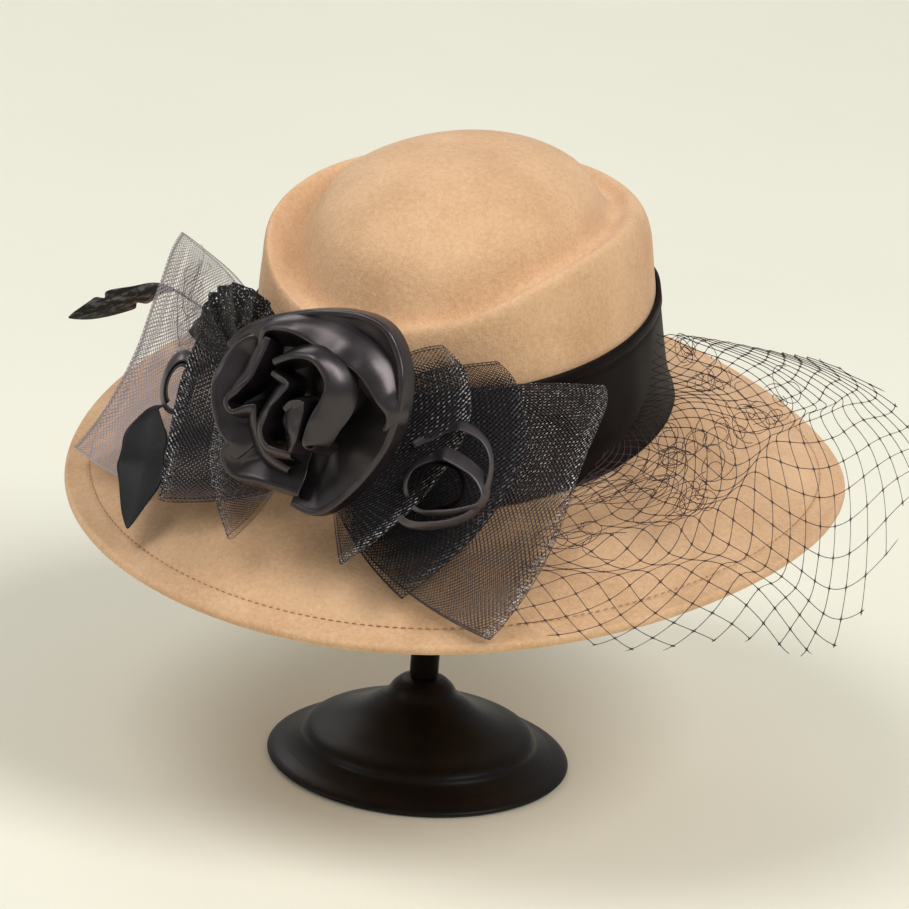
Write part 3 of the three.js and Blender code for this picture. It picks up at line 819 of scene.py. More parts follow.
def along(values: list[float], t: np.ndarray) -> np.ndarray:
    """Smooth value along a short list, by a cubic through the four nearest, with its ends held.

    Args:
        values: the list.
        t: 0 at its first value and 1 at its last.

    Returns:
        Values at t.
    """
    rows = np.array(values, float)
    step = np.minimum(np.asarray(t, float) * (len(rows) - 1), len(rows) - 1 - 1e-9)
    i = np.floor(step).astype(int)
    s = step - i
    a, b, c, d = (rows[np.clip(i + k, 0, len(rows) - 1)] for k in (-1, 0, 1, 2))
    return b + 0.5 * s * (c - a + s * (2 * a - 5 * b + 4 * c - d + s * (3 * (b - c) + d - a)))


@dataclass
class FeltHood:
    """The felt hood: crown, brim, wired hem and its line of stitches."""

    block: HatBlock
    wall: float = 2.2 * MM
    columns: int = 260
    stitch_pitch: float = 3.3 * MM
    groove: float = 0.45 * MM

    def hem_grow(self, row: np.ndarray) -> np.ndarray:
        """How much the hem thickens past the stitch line."""
        return np.maximum(0.0, row - 10.0) * (self.block.hem - self.wall) / 2

    def build(self) -> bpy.types.Object:
        """Makes the hood: the outer skin, a half round hem, the inner skin and two closed poles.

        Returns:
            The hood.
        """
        turn = np.arange(self.columns) * 360.0 / self.columns
        outer = np.unique(np.concatenate([np.linspace(0.06, 10, 96), np.linspace(9.8, 10.2, 13), np.linspace(10.2, 11, 12)]))
        inner = np.linspace(11, 0.06, 70)
        t = np.radians(turn)[None, :]
        soft = 0.45 * MM * ripple(np.cos(t) * 2.2, np.sin(t) * 2.2 + outer[:, None] * 0.9, 4, 6, 2.6)
        soft = soft * np.clip(outer[:, None] / 2, 0, 1)
        pinch = self.groove * np.exp(-(((outer - 10.0) / 0.055) ** 2))[:, None]
        top = self.block.skin(turn, outer, self.hem_grow(outer)[:, None] + soft - pinch)
        under = self.block.skin(turn, inner, -self.wall - self.hem_grow(inner))
        middle = (top[-1] + under[0]) / 2
        half = top[-1] - middle
        out = self.block.ring(turn, 1.0, 0.0)
        out = out - half * (np.sum(out * half, axis=-1) / np.sum(half * half, axis=-1))[:, None]
        out = out / np.linalg.norm(out, axis=-1, keepdims=True) * np.linalg.norm(half, axis=-1, keepdims=True)
        angle = np.radians(np.linspace(18, 162, 9))[:, None, None]
        hem = middle + half * np.cos(angle) + out * np.sin(angle)
        rings = np.concatenate([top, hem, under])
        peak = np.array([[0, 0, self.block.height], [0, 0, self.block.height - self.wall]])
        vertices = self.block.placed(np.concatenate([rings.reshape(-1, 3), peak]))
        count = len(rings) * self.columns
        here = np.arange(self.columns)
        after = (here + 1) % self.columns
        cap = np.stack([np.full_like(here, count), here, after], axis=-1)
        base = count - self.columns
        ceiling = np.stack([np.full_like(here, count + 1), base + after, base + here], axis=-1)
        return solid_of("felt_hood", vertices, [quads(len(rings), self.columns, round_columns=True), cap, ceiling])

    def stitches(self) -> bpy.types.Object:
        """Makes the stitches: short threads that dip into the felt along the line inside the hem."""
        rough = np.arange(0, 360, 0.5)
        ring = self.block.skin(rough, np.array([10.0]), np.array([0.0]))[0]
        step = np.linalg.norm(np.roll(ring, -1, axis=0) - ring, axis=1)
        far = np.concatenate([[0], np.cumsum(step)])
        count = int(far[-1] / self.stitch_pitch)
        middle = np.interp(np.arange(count) * far[-1] / count, far, np.concatenate([rough, [360.0]]))
        span = 360.0 / count * 0.36
        share = np.linspace(-1, 1, 5)
        turn = (middle[:, None] + span * share[None, :]).ravel()
        lift = np.tile(0.10 * MM - 0.32 * MM * share ** 2 - 0.12 * MM, count)
        points = self.block.skin(turn, np.array([10.0]), lift[None, :])[0].reshape(count, 5, 3)
        lines = list(self.block.placed(points))
        return tubes_of("hem_stitches", lines, 0.22 * MM, 4)

    def make(self) -> None:
        """Builds and dresses the hood."""
        dress(self.build(), FeltFinish().material(), "camel_felt", "felt_body")
        thread = SatinFinish("hem_thread", (0.30, 0.17, 0.085), 0.6, 0.2).material()
        dress(self.stitches(), thread, "camel_felt")


@dataclass
class SatinBand:
    """The wide satin band with its narrow turned-over top edge."""

    block: HatBlock
    gap: float = 0.35 * MM
    thickness: float = 1.1 * MM
    fold: float = 1.9 * MM
    columns: int = 420

    def build(self) -> bpy.types.Object:
        """Makes the band: an inner face, a rolled fold at the top and a drawn outer face.

        Returns:
            The band.
        """
        turn = np.arange(self.columns) * 360.0 / self.columns
        inner = [(row, self.gap) for row in np.linspace(6.0, 7.5, 12)]
        foot = [(7.515, self.gap + self.thickness * 0.3), (7.515, self.gap + self.thickness * 0.7)]
        outer = [(row, self.gap + self.thickness) for row in np.linspace(7.5, 6.16, 26)]
        crease = [(6.14, self.gap + self.thickness * 0.72), (6.125, self.gap + self.thickness * 0.72)]
        roll = [(6.06 + 0.06 * math.cos(a), self.gap + self.thickness + (self.fold - self.thickness) * math.sin(a) ** 0.7)
                for a in np.radians(np.linspace(8, 172, 10))]
        profile = np.array(inner + foot + outer + crease + roll)
        t = np.radians(turn)[None, :]
        row = profile[:, :1]
        drawn = 0.16 * MM * ripple(np.cos(t) * 9.0, np.sin(t) * 9.0 + row * 0.5, 11, 7, 2.8)
        shift = np.where(profile[:, 1:] > self.gap + 0.5 * self.thickness, drawn, 0.0)
        points = self.block.skin(turn, profile[:, 0], profile[:, 1:] + shift)
        vertices = self.block.placed(points).reshape(-1, 3)
        return solid_of("satin_band", vertices, [quads(len(profile), self.columns, round_rows=True, round_columns=True)[:, ::-1]])

    def make(self) -> None:
        band = dress(self.build(), SatinFinish("band_satin", (0.004, 0.0024, 0.0024), 0.46, 0.09).material(), "black_satin", "crown_band")


@dataclass
class CrinolineLoop:
    """One loop of horsehair braid: out from its gathered root to a round fold, and back under itself."""

    block: HatBlock
    name: str
    node: str
    fold: tuple
    root: tuple
    gap: float
    ease: float
    root_lift: float
    weave: Weave
    glitter: float
    cut: tuple[float, float]
    bow: float
    corner: float
    seed: int
    drawn_in: float = 0.72
    # pale is the open loop's black thread painted pale grey: a painted sheen.
    pale: tuple[float, float, float] = (0.400, 0.345, 0.372)
    brown: tuple[float, float, float] = (0.046, 0.036, 0.034)

    def build(self) -> bpy.types.Object:
        """Makes the loop on a grid of length by width.

        Returns:
            The loop.
        """
        steps = 9.0
        legs = 3.0
        u = np.linspace(0, 1, 82)[:, None]
        v = np.linspace(0, 1, 41)[None, :]
        step = u * steps
        bend = np.clip((step - legs) / (steps - 2 * legs), 0, 1) * np.pi
        share = np.minimum(np.where(step < legs, step / legs, np.maximum(0, steps - step) / legs), 1)
        width = self.block.braid
        fold_gap = self.gap * width
        root_gap = 1.6 * MM
        turns, rises, lifts = (along([row[k] for row in self.fold], v) for k in range(3))
        out = share * (1 - fold_gap / 2 / (0.8 * width)) + np.sin(bend) * fold_gap / 2 / (0.8 * width)
        root_turn = self.root[0][0] + (self.root[1][0] - self.root[0][0]) * v
        root_rise = (self.root[0][1] + (self.root[1][1] - self.root[0][1]) * v) * width
        out = out * (1 - self.corner * (1 - np.minimum(v / 0.24, 1)) ** 2)
        turn = root_turn + (turns - root_turn) * out
        rise = root_rise + (rises * width - root_rise) * out
        rise = rise + self.bow * width * np.sin(np.pi * np.clip(out, 0, 1)) * (1 - v) ** 2
        lift = (self.root_lift + (lifts - self.root_lift) * out ** self.ease) * width
        lift = lift + np.cos(bend) * (root_gap + (fold_gap - root_gap) * share) / 2
        lift = lift + 0.28 * MM * ripple(u * 9, v * 14 + 0 * u, self.seed, 6, 1.6) * out
        points = self.block.placed(self.block.seat(turn, rise, lift))
        steps = np.linalg.norm(np.diff(points, axis=0), axis=2).mean(axis=1)
        run = np.concatenate([[0.0], np.cumsum(steps)])[:, None]
        self.long = float(run[-1, 0])
        flat = np.stack(np.broadcast_arrays(run, v * width), axis=-1)
        return cloth_of(self.name, points, 0.0, flat)

    def make(self) -> None:
        piece = self.build()
        finish = CrinolineFinish(self.name + "_braid", self.weave, length=self.long, glitter=self.glitter)
        # The open loop's threads take the pale colour, a painted sheen on black thread.
        if self.weave is Weave.OPEN:
            finish = replace(finish, thread=self.pale, lit_thread=self.pale)
        if self.weave is Weave.MEDIUM:
            finish = replace(finish, thread=self.brown, lit_thread=self.brown)
        dress(piece, finish.material(), "black_crinoline", self.node)
        self.drawn_in * self.cut[0] * self.cut[1]


@dataclass
class Flower:
    """Frame of a flower on the loops: right, up and out of its face."""

    block: HatBlock
    turn: float
    rise: float
    lift: float
    faces: float
    elevation: float

    def at(self, x: np.ndarray, y: np.ndarray, z: np.ndarray) -> np.ndarray:
        """Points of the flower in the row frame.

        Args:
            x: metres to the flower's right.
            y: metres up its face.
            z: metres out of it.

        Returns:
            Points.
        """
        origin = self.block.seat(np.array(self.turn), np.array(self.rise), np.array(self.lift))
        level = math.radians(self.elevation)
        face = self.block.ring(np.array(self.faces), np.array(math.cos(level)), np.array(math.sin(level)))
        right = np.array([math.cos(math.radians(self.faces)), math.sin(math.radians(self.faces)), 0.0])
        up = np.cross(face, right)
        x, y, z = np.broadcast_arrays(x, y, z)
        return self.block.placed(origin + x[..., None] * right + y[..., None] * up + z[..., None] * face)


@dataclass(frozen=True)
class PetalCut:
    """One petal: the line of its rim in millimetres right, up and out of the rose's face, and its roll."""

    rim: tuple
    spread: tuple
    lip: float
    inner: float
    deep: float
    skirt: float
    fall: float
    way: int = 1


@dataclass
class SatinRose:
    """Rolled satin rose: a folded heart and seven petals, each a strip rolled over at its rim."""

    block: HatBlock
    radius: float = 44 * MM
    depth: float = 36 * MM
    cloth: float = 0.5 * MM
    petals: tuple = (
        PetalCut(((-3.4, 4.6, 30), (0.4, 8.2, 32), (6.0, 8.5, 33), (6.5, 2.2, 33), (5.9, -5.9, 32), (2.3, -12.3, 28)),
                 (0.5, 0.8, 1.0, 1.0, 0.8, 0.3), 0.6, 1.5, 14, 8, 3, -1),
        PetalCut(((-10.9, 17.5, 30), (-2.2, 14.4, 33), (-4.2, 9.2, 33), (-7.3, 2.6, 33), (-9.8, -4.7, 32),
                  (-8.2, -10.8, 30), (-2.6, -12.1, 29), (1.9, -12.7, 27)),
                 (0.3, 0.8, 1.0, 1.0, 0.9, 0.7, 0.5, 0.3), 0.8, 1.8, 18, 6, 8),
        PetalCut(((-11.5, 19.9, 28), (-2.5, 24.0, 32), (4.4, 24.9, 33), (9.3, 22.7, 33), (13.4, 17.6, 33),
                  (13.3, 11.6, 33), (10.2, 3.3, 33), (8.3, -4.6, 32), (8.2, -8.6, 30), (10.0, -9.5, 26),
                  (11.3, -5.6, 22)),
                 (0.1, 0.4, 0.6, 0.8, 1.0, 1.1, 1.0, 0.8, 0.4, 0.2, 0.1), 1.2, 2.5, 18, 10, 10),
        PetalCut(((-16.3, 29.8, 26), (-17.8, 22.2, 27), (-20.3, 12.9, 27), (-24.7, 6.4, 28), (-28.3, 2.4, 28),
                  (-26.4, -0.8, 27), (-21.2, 1.9, 26), (-17.3, 2.3, 25), (-15.7, -5.5, 23), (-11.8, -14.3, 20),
                  (-2.8, -19.7, 14)),
                 (0.5, 1.0, 1.1, 0.8, 0.3, 0.3, 0.6, 0.9, 1.0, 0.8, 0.4), 0.9, 2.2, 15, 7, 8),
        PetalCut(((-20.8, 25.0, 22), (-18.5, 32.2, 26), (-7.8, 33.8, 27), (3.9, 30.9, 27), (14.7, 27.5, 27),
                  (24.4, 22.7, 26), (32.8, 14.0, 24), (36.4, 8.8, 20), (32.8, 0.5, 14)),
                 (0.2, 0.3, 0.6, 0.95, 1.0, 0.9, 0.7, 0.4, 0.2), 0.9, 9.0, 22, 12.5, 9),
        PetalCut(((-22.7, 28.8, 14), (-32.2, 23.6, 18), (-36.4, 13.8, 21), (-36.3, 2.9, 22), (-32.7, -8.1, 21),
                  (-26.5, -14.5, 19), (-29.5, -20.0, 17), (-25.3, -25.6, 15), (-15.0, -25.9, 12), (0.5, -28.0, 8)),
                 (0.4, 0.9, 1.0, 0.9, 1.0, 1.2, 0.8, 0.9, 1.0, 0.8), 1.3, 25, 16, 5.0, 13),
        PetalCut(((-38.6, 22.0, 14), (-27.0, 32.6, 18), (-8.6, 39.6, 20), (11.2, 43.6, 20), (27.0, 41.4, 20),
                  (35.8, 29.8, 19), (38.4, 14.0, 18), (34.8, -3.4, 16), (23.6, -20.8, 11), (9.0, -33.6, 6),
                  (-4.0, -33.0, 4)),
                 (0.5, 0.8, 1.0, 1.0, 1.0, 1.0, 1.0, 0.8, 0.6, 0.6, 0.4), 1.3, 33, 19, 3.4, 9),
    )

    def __post_init__(self) -> None:
        """Sets the flower's frame on the loops."""
        self.flower = Flower(self.block, 4, 0.28 * self.block.braid, 0.21 * self.block.braid, 4, 24)

    def petal(self, number: int) -> bpy.types.Object:
        """Makes a petal: a profile carried along the rim, up its inner wall, over the rim's roll and down its skirt.

        Args:
            number: 1 for the innermost.

        Returns:
            The petal.
        """
        cut = self.petals[number - 1]
        u = np.linspace(0, 1, 110)
        rim = np.stack([along([row[k] for row in cut.rim], u) for k in range(3)], axis=1)
        run = np.gradient(rim[:, :2], axis=0)
        run /= np.linalg.norm(run, axis=1, keepdims=True)
        out = np.stack([run[:, 1], -run[:, 0]], axis=1)
        out *= cut.way * np.sign(np.sum(out * rim[:, :2]))
        far = np.concatenate([[0], np.cumsum(np.linalg.norm(np.diff(rim, axis=0), axis=1))])[None, :]
        spread = along(cut.spread, u)[None, :]
        v = np.linspace(0, 1, 44)
        roll = 1.8 * cut.lip
        past = cut.skirt - roll
        reach = along([-cut.inner, -0.72 * cut.inner, -0.3 * cut.inner, -0.02 * cut.inner, 0.6 * cut.lip, roll,
                       roll + 0.45 * past, roll + 0.8 * past, cut.skirt], v)[:, None]
        drop = along([cut.deep, 0.6 * cut.deep, 0.24 * cut.deep, 0.5 * cut.lip, 0, 0.25 * cut.lip, 0.3 * cut.fall,
                      0.68 * cut.fall, cut.fall], v)[:, None]
        end = np.sin(np.pi * (0.06 + 0.88 * u))[None, :] ** 0.5
        reach = np.where(reach > roll, roll + (reach - roll) * spread, reach)
        axial = np.clip((-reach - 4) / 6, 0, 1)[..., None]
        home = rim[None, :, :2] / np.linalg.norm(rim[None, :, :2], axis=2, keepdims=True)
        way = out[None, :, :] * (1 - axial) + home * axial
        reach = np.maximum(reach, -0.92 * np.linalg.norm(rim[:, :2], axis=1)[None, :])
        drop = drop * (0.55 + 0.45 * end)
        v = v[:, None]
        folds = 0.55 * ripple(far / 5.5, v * 2.2, 60 + number, 7, 1.5) * np.sin(np.pi * v)
        folds = folds + 0.30 * ripple(far / 2.4, v * 3.0, 80 + number, 7, 1.5) * np.sin(np.pi * v) ** 2
        x = (rim[None, :, 0] + way[..., 0] * (reach + folds * 0.4)) * MM
        y = (rim[None, :, 1] + way[..., 1] * (reach + folds * 0.4)) * MM
        z = (rim[None, :, 2] - drop + folds) * MM
        return cloth_of(f"rose_leaf_{number}", self.flower.at(x, y, np.maximum(z, 0.3 * MM)), self.cloth)

    def heart(self) -> bpy.types.Object:
        """Makes the heart: a turned profile pressed flat, whose folds twist as it rises, on a round foot.

        Returns:
            The heart.
        """
        profile = np.array([(0.0, -0.357), (0.15, -0.357), (0.28, -0.357), (0.30, -0.345), (0.30, -0.32), (0.28, -0.31),
                            (0.20, -0.20), (0.14, -0.10), (0.15, 0.2), (0.15, 0.5), (0.14, 0.68), (0.12, 0.76),
                            (0.08, 0.80), (0.03, 0.81), (0.0, 0.81)])
        t = np.linspace(0, 1, 60)
        rows = np.stack([np.interp(t, np.linspace(0, 1, len(profile)), profile[:, k]) for k in range(2)], axis=1)
        angle = np.radians(np.arange(72) * 5.0)[None, :]
        z = rows[1:-1, 1:] * self.depth
        risen = np.clip(rows[1:-1, 1:] * 3, 0, 1)
        fold = 1 + 0.16 * np.sin(3 * angle + rows[1:-1, 1:] * 6.6) * risen
        radius = rows[1:-1, :1] * self.radius * fold
        ring = self.flower.at(radius * np.cos(angle) * (1 - 0.3 * risen), radius * np.sin(angle) * (1 + 0.2 * risen), z)
        poles = self.flower.at(np.zeros(2), np.zeros(2), rows[[0, -1], 1] * self.depth)
        columns = ring.shape[1]
        here = np.arange(columns)
        after = (here + 1) % columns
        count = ring.shape[0] * columns
        foot = np.stack([np.full_like(here, count), after, here], axis=-1)
        tip = np.stack([np.full_like(here, count + 1), count - columns + here, count - columns + after], axis=-1)
        body = quads(ring.shape[0], columns, round_columns=True)[:, ::-1]
        return solid_of("rose_coil", np.concatenate([ring.reshape(-1, 3), poles]), [body, foot, tip])

    def make(self) -> None:
        satin = SatinFinish("rose_satin").material()
        dress(self.heart(), satin, "black_satin", "rose_heart")
        for number in range(1, 8):
            leaf = dress(self.petal(number), satin, "black_satin", f"rose_petal_{number}")
            length, width, area = flat_size(leaf)


def flat_size(piece: bpy.types.Object) -> tuple[float, float, float]:
    """Size of the strip that a piece of cloth was cut from: its map's reach, fitted to its area.

    Args:
        piece: a cloth piece with a map.

    Returns:
        Length and width in metres, and area in square metres.
    """
    layer = piece.data.uv_layers[0].data
    uv = np.zeros(len(layer) * 2, np.float32)
    layer.foreach_get("uv", uv)
    spread = uv.reshape(-1, 2).max(axis=0) - uv.reshape(-1, 2).min(axis=0)
    area = sum(face.area for face in piece.data.polygons)
    length = float(spread.max())
    return length, max(float(area / length), NARROWEST), float(area)


@dataclass(frozen=True)
class RingCut:
    """One ribbon ring: its two lines in millimetres right and up, their heights, and its share under the near loop."""

    outer: tuple
    inner: tuple
    low: float
    high: float
    under: float


@dataclass
class RibbonRosette:
    """Rings and a side loop of narrow satin ribbon."""

    block: HatBlock
    cloth: float = 0.6 * MM
    rings: tuple = (
        RingCut(((-7.5, -7.0), (-9.5, 0.0), (-6.5, 7.2), (0.5, 9.6), (7.0, 7.4), (9.8, 1.6), (8.6, -4.6), (3.4, -8.4), (-3.0, -8.8)),
                ((-6.3, -5.8), (-8.2, 0.0), (-5.6, 6.0), (0.5, 8.0), (5.9, 6.0), (8.3, 1.2), (7.3, -4.0), (2.9, -7.2), (-2.6, -7.6)),
                0.0, 3.1, 0.0),
        RingCut(((-13.7, -5.0), (-15.0, 1.6), (-12.4, 8.6), (-6.7, 13.3), (-0.8, 15.4), (4.0, 14.9), (11.7, 10.8), (17.1, 5.8),
                 (19.4, 0.6), (19.0, -4.6), (15.8, -8.6), (9.8, -10.4), (5.1, -11.6), (0.0, -12.3), (-5.5, -11.8), (-10.8, -9.6)),
                ((-12.6, -4.2), (-13.4, 1.4), (-10.9, 6.8), (-5.2, 9.8), (-1.0, 10.2), (2.0, 9.4), (7.0, 6.9), (11.9, 3.9),
                 (15.2, 0.0), (16.6, -4.2), (14.6, -7.4), (10.2, -8.8), (6.2, -9.8), (0.3, -10.5), (-6.0, -10.3), (-10.2, -8.2)),
                1.6, 8.6, 0.32),
        RingCut(((-13.0, 18.1), (-5.2, 22.9), (1.6, 25.6), (6.1, 26.3), (9.9, 25.6), (13.4, 23.7), (16.5, 20.6), (18.9, 17.0),
                 (20.0, 12.8), (20.4, 8.6), (20.0, 4.0), (18.9, -1.2), (17.4, -5.9), (15.0, -9.9), (10.3, -13.4), (2.9, -16.2),
                 (-5.0, -17.4), (-12.0, -16.8), (-17.2, -13.6)),
                ((-11.4, 16.0), (-3.9, 19.4), (1.6, 21.6), (5.8, 22.1), (9.0, 21.4), (12.3, 20.0), (15.4, 18.0), (17.5, 15.2),
                 (18.9, 11.8), (19.3, 7.8), (18.8, 3.6), (17.4, -1.5), (15.6, -5.7), (13.0, -8.8), (9.3, -11.6), (2.9, -14.0),
                 (-4.6, -15.0), (-10.8, -14.4), (-15.6, -12.0)),
                0.2, 6.2, 0.19),
    )
    bulge: float = 0.7 * MM
    tuck: float = 1.5 * MM
    eye: tuple[float, float] = (7.6 * MM, 14.8 * MM)
    slant: float = 13.0

    def ring(self, number: int) -> bpy.types.Object:
        """Makes a ring: a ribbon between its outer and inner lines, a little swollen, flat at its two ends.

        Args:
            number: 1 for the innermost.

        Returns:
            The ring.
        """
        flower = Flower(self.block, 27, 0.02 * self.block.braid, 0.22 * self.block.braid, 26, 34)
        cut = self.rings[number - 1]
        u = np.linspace(0, 1, 110)
        v = np.linspace(0, 1, 12)[:, None]
        outer, inner = (np.stack([along([p[k] for p in line], u) for k in range(2)]) * MM for line in (cut.outer, cut.inner))
        swell = 1 + self.bulge * np.sin(np.pi * v) / np.linalg.norm(outer, axis=0)
        x, y = ((outer[k] + (inner[k] - outer[k]) * v) * swell for k in range(2))
        ends = np.clip(np.minimum(u, 1 - u) / 0.12, 0.25, 1)
        slope = np.clip((cut.under - u) / 0.10, 0, 1)
        tuck = (cut.high * MM + self.tuck) * slope * slope * (3 - 2 * slope)
        height = (cut.low + (cut.high - cut.low) * v * ends) * MM - tuck
        return cloth_of(f"ribbon_ring_{number}", flower.at(x, y, height), self.cloth)

    def side_loop(self) -> bpy.types.Object:
        """Makes the coiled ribbon left of the rose: an upright oval wound one and a half times, each turn smaller."""
        flower = Flower(self.block, -41.0, 0.060 * self.block.braid, 0.175 * self.block.braid, 28, 12)
        u = np.linspace(0, 1, 120)[None, :]
        v = np.linspace(0, 1, 10)[:, None]
        angle = np.radians(60 + 540 * u)
        size = (1 - 0.30 * u) * (1 - 0.24 * v) + 0.05 * np.sin(np.pi * v)
        wide = self.eye[0] * np.cos(angle) * size
        tall = self.eye[1] * np.sin(angle) * size
        turn = math.radians(self.slant)
        x = wide * math.cos(turn) + tall * math.sin(turn)
        y = tall * math.cos(turn) - wide * math.sin(turn)
        return cloth_of("ribbon_side_loop", flower.at(x, y, (-2.6 + 4.6 * v) * MM + 0 * u), self.cloth)

    def make(self) -> None:
        satin = SatinFinish("ribbon_satin", (0.022, 0.019, 0.021), 0.30, 0.9).material()
        # Ring 1 is the same ribbon painted near black: painted shade in the rosette's eye.
        shaded = SatinFinish("painted_shade_satin", (0.003, 0.002, 0.002), 0.40, 0.12).material()
        for number in (1, 2, 3):
            ring = dress(self.ring(number), shaded if number == 1 else satin, "black_satin", f"satin_ring_{number}")
            length, width, area = flat_size(ring)
        loop = dress(self.side_loop(), satin, "black_satin", "satin_loop_left")
        length, width, area = flat_size(loop)


@dataclass
class Plume:
    """A dyed leaf-shaped feather: a vane folded along its shaft."""

    block: HatBlock
    name: str
    node: str
    turns: tuple
    rises: tuple
    lifts: tuple
    width: float
    stalk: float
    tilt: float
    face: float
    # Share of painted sheen in the barbs' colour, and also how deep the vane splits.
    sheen_and_split: float
    belly: float
    start: float = 0.0
    length: float = 62 * MM

    def build(self) -> tuple[bpy.types.Object, bpy.types.Object]:
        """Makes the vane and its shaft: the vane's width swells along the spine like a leaf.

        Returns:
            Vane and shaft.
        """
        u = np.linspace(self.start, 1, 120)
        braid = self.block.braid
        spine = self.block.seat(along(self.turns, u), along(self.rises, u) * braid, along(self.lifts, u) * braid)
        turn = np.radians(along(self.turns, u) + self.face)
        leaf = np.maximum(0, (u - self.stalk) / (1 - self.stalk))
        swell = np.sin(np.pi * leaf ** self.belly) ** 1.15
        half = self.length * (0.008 + self.width * 0.5 * swell)
        tilt = math.radians(self.tilt)
        side = np.stack([np.cos(turn) * math.cos(tilt), np.sin(turn) * math.cos(tilt), np.full_like(turn, math.sin(tilt))], axis=1)
        ahead = np.gradient(spine, axis=0)
        ahead /= np.linalg.norm(ahead, axis=1, keepdims=True)
        side -= ahead * np.sum(side * ahead, axis=1, keepdims=True)
        side /= np.linalg.norm(side, axis=1, keepdims=True)
        face = np.cross(side, ahead)
        across = np.linspace(-1, 1, 15)
        side_of = np.sign(across)[None, :]
        frill = 1 + 0.09 * ripple(u[:, None] * 34, side_of * 2.0, 7, 6, 1.5) * np.abs(across)[None, :]
        split = np.exp(-((u[:, None] - 0.74 - 0.04 * side_of) / 0.016) ** 2) * np.abs(across)[None, :]
        frill = frill - self.sheen_and_split * 0.8 * split
        reach = half[:, None] * across[None, :] * frill
        dish = 0.16 * half[:, None] * np.abs(across)[None, :] ** 1.5
        points = spine[:, None, :] + reach[..., None] * side[:, None, :] - dish[..., None] * face[:, None, :]
        far = np.concatenate([[0], np.cumsum(np.linalg.norm(np.diff(spine, axis=0), axis=1))])
        flat = np.stack(np.broadcast_arrays(far[:, None], reach), axis=-1)
        vane = cloth_of(self.name, self.block.placed(points), 0.35 * MM, flat)
        line = self.block.placed(spine + face * 0.25 * MM)
        shaft = tubes_of(self.name + "_shaft", [line], 0.6 * MM, 8, [1.0 - 0.75 * u])
        return vane, shaft

    def make(self) -> None:
        """Builds and dresses the plume."""
        vane, shaft = self.build()
        finish = FeatherFinish(self.name + "_barbs", self.sheen_and_split).material()
        dress(vane, finish, "black_feather", self.node)
        dress(shaft, finish, "black_feather")


@dataclass
class NetBunch:
    """The crumpled net behind the rose, with loose curled threads."""

    block: HatBlock
    root: tuple[float, float] = (-17.0, 36.0)
    outline: tuple = (
        (-37.5, 34.0), (-36.0, 39.6), (-33.0, 47.0), (-31.2, 54.3), (-29.2, 61.0), (-25.5, 66.5), (-21.0, 70.7), (-16.1, 73.1),
        (-12.2, 72.3), (-9.4, 69.5), (-7.5, 65.5),
    )
    creases: tuple = ((0.36, 2.2), (0.62, 1.8), (0.80, 1.5))

    def build(self) -> bpy.types.Object:
        """Makes the pleated bunch: a fan whose far edge rises and falls.

        Returns:
            The bunch.
        """
        u = np.linspace(0, 1, 110)[:, None]
        v = np.linspace(0, 1, 34)[None, :]
        far_turn, far_rise = (along([p[k] for p in self.outline], u) for k in range(2))
        turn = self.root[0] + (far_turn - self.root[0]) * v
        rise = (self.root[1] + (far_rise - self.root[1]) * v) * MM
        lift = 15.0 + 8.0 * np.sin(0.62 * np.pi * v) + 0.8 * ripple(u * 26, v * 9, 3, 7, 1.8) * v
        for middle, size in self.creases:
            lift = lift + size * v * (np.exp(-((u - middle) / 0.030) ** 2) - np.exp(-((u - middle - 0.05) / 0.030) ** 2))
        return cloth_of("net_bunch", self.block.placed(self.block.seat(turn, rise, lift * MM)), 0.0)

    def curls(self) -> bpy.types.Object:
        """Makes the loose threads: small wandering loops over the bunch."""
        rng = np.random.default_rng(12)
        lines = []
        t = np.linspace(0, 1, 70)
        for _ in range(16):
            turn = rng.uniform(-48, -32) + 5 * np.sin(rng.uniform(3, 9) * t + rng.uniform(0, 6)) + 4 * t
            rise = (rng.uniform(0.32, 0.62) + 0.09 * np.cos(rng.uniform(4, 10) * t + rng.uniform(0, 6))) * self.block.braid
            lift = (0.235 + 0.012 * np.sin(9 * t + rng.uniform(0, 6))) * self.block.braid
            lines.append(self.block.placed(self.block.seat(turn, rise, lift)))
        return tubes_of("net_bunch_curls", lines, 0.08 * MM, 4)

    def make(self) -> None:
        bunch = dress(self.build(), TulleFinish().material(), "black_net", "net_tuft")
        curls = dress(self.curls(), NetFinish("curl_thread").material(), "black_net")
        length, width, area = flat_size(bunch)


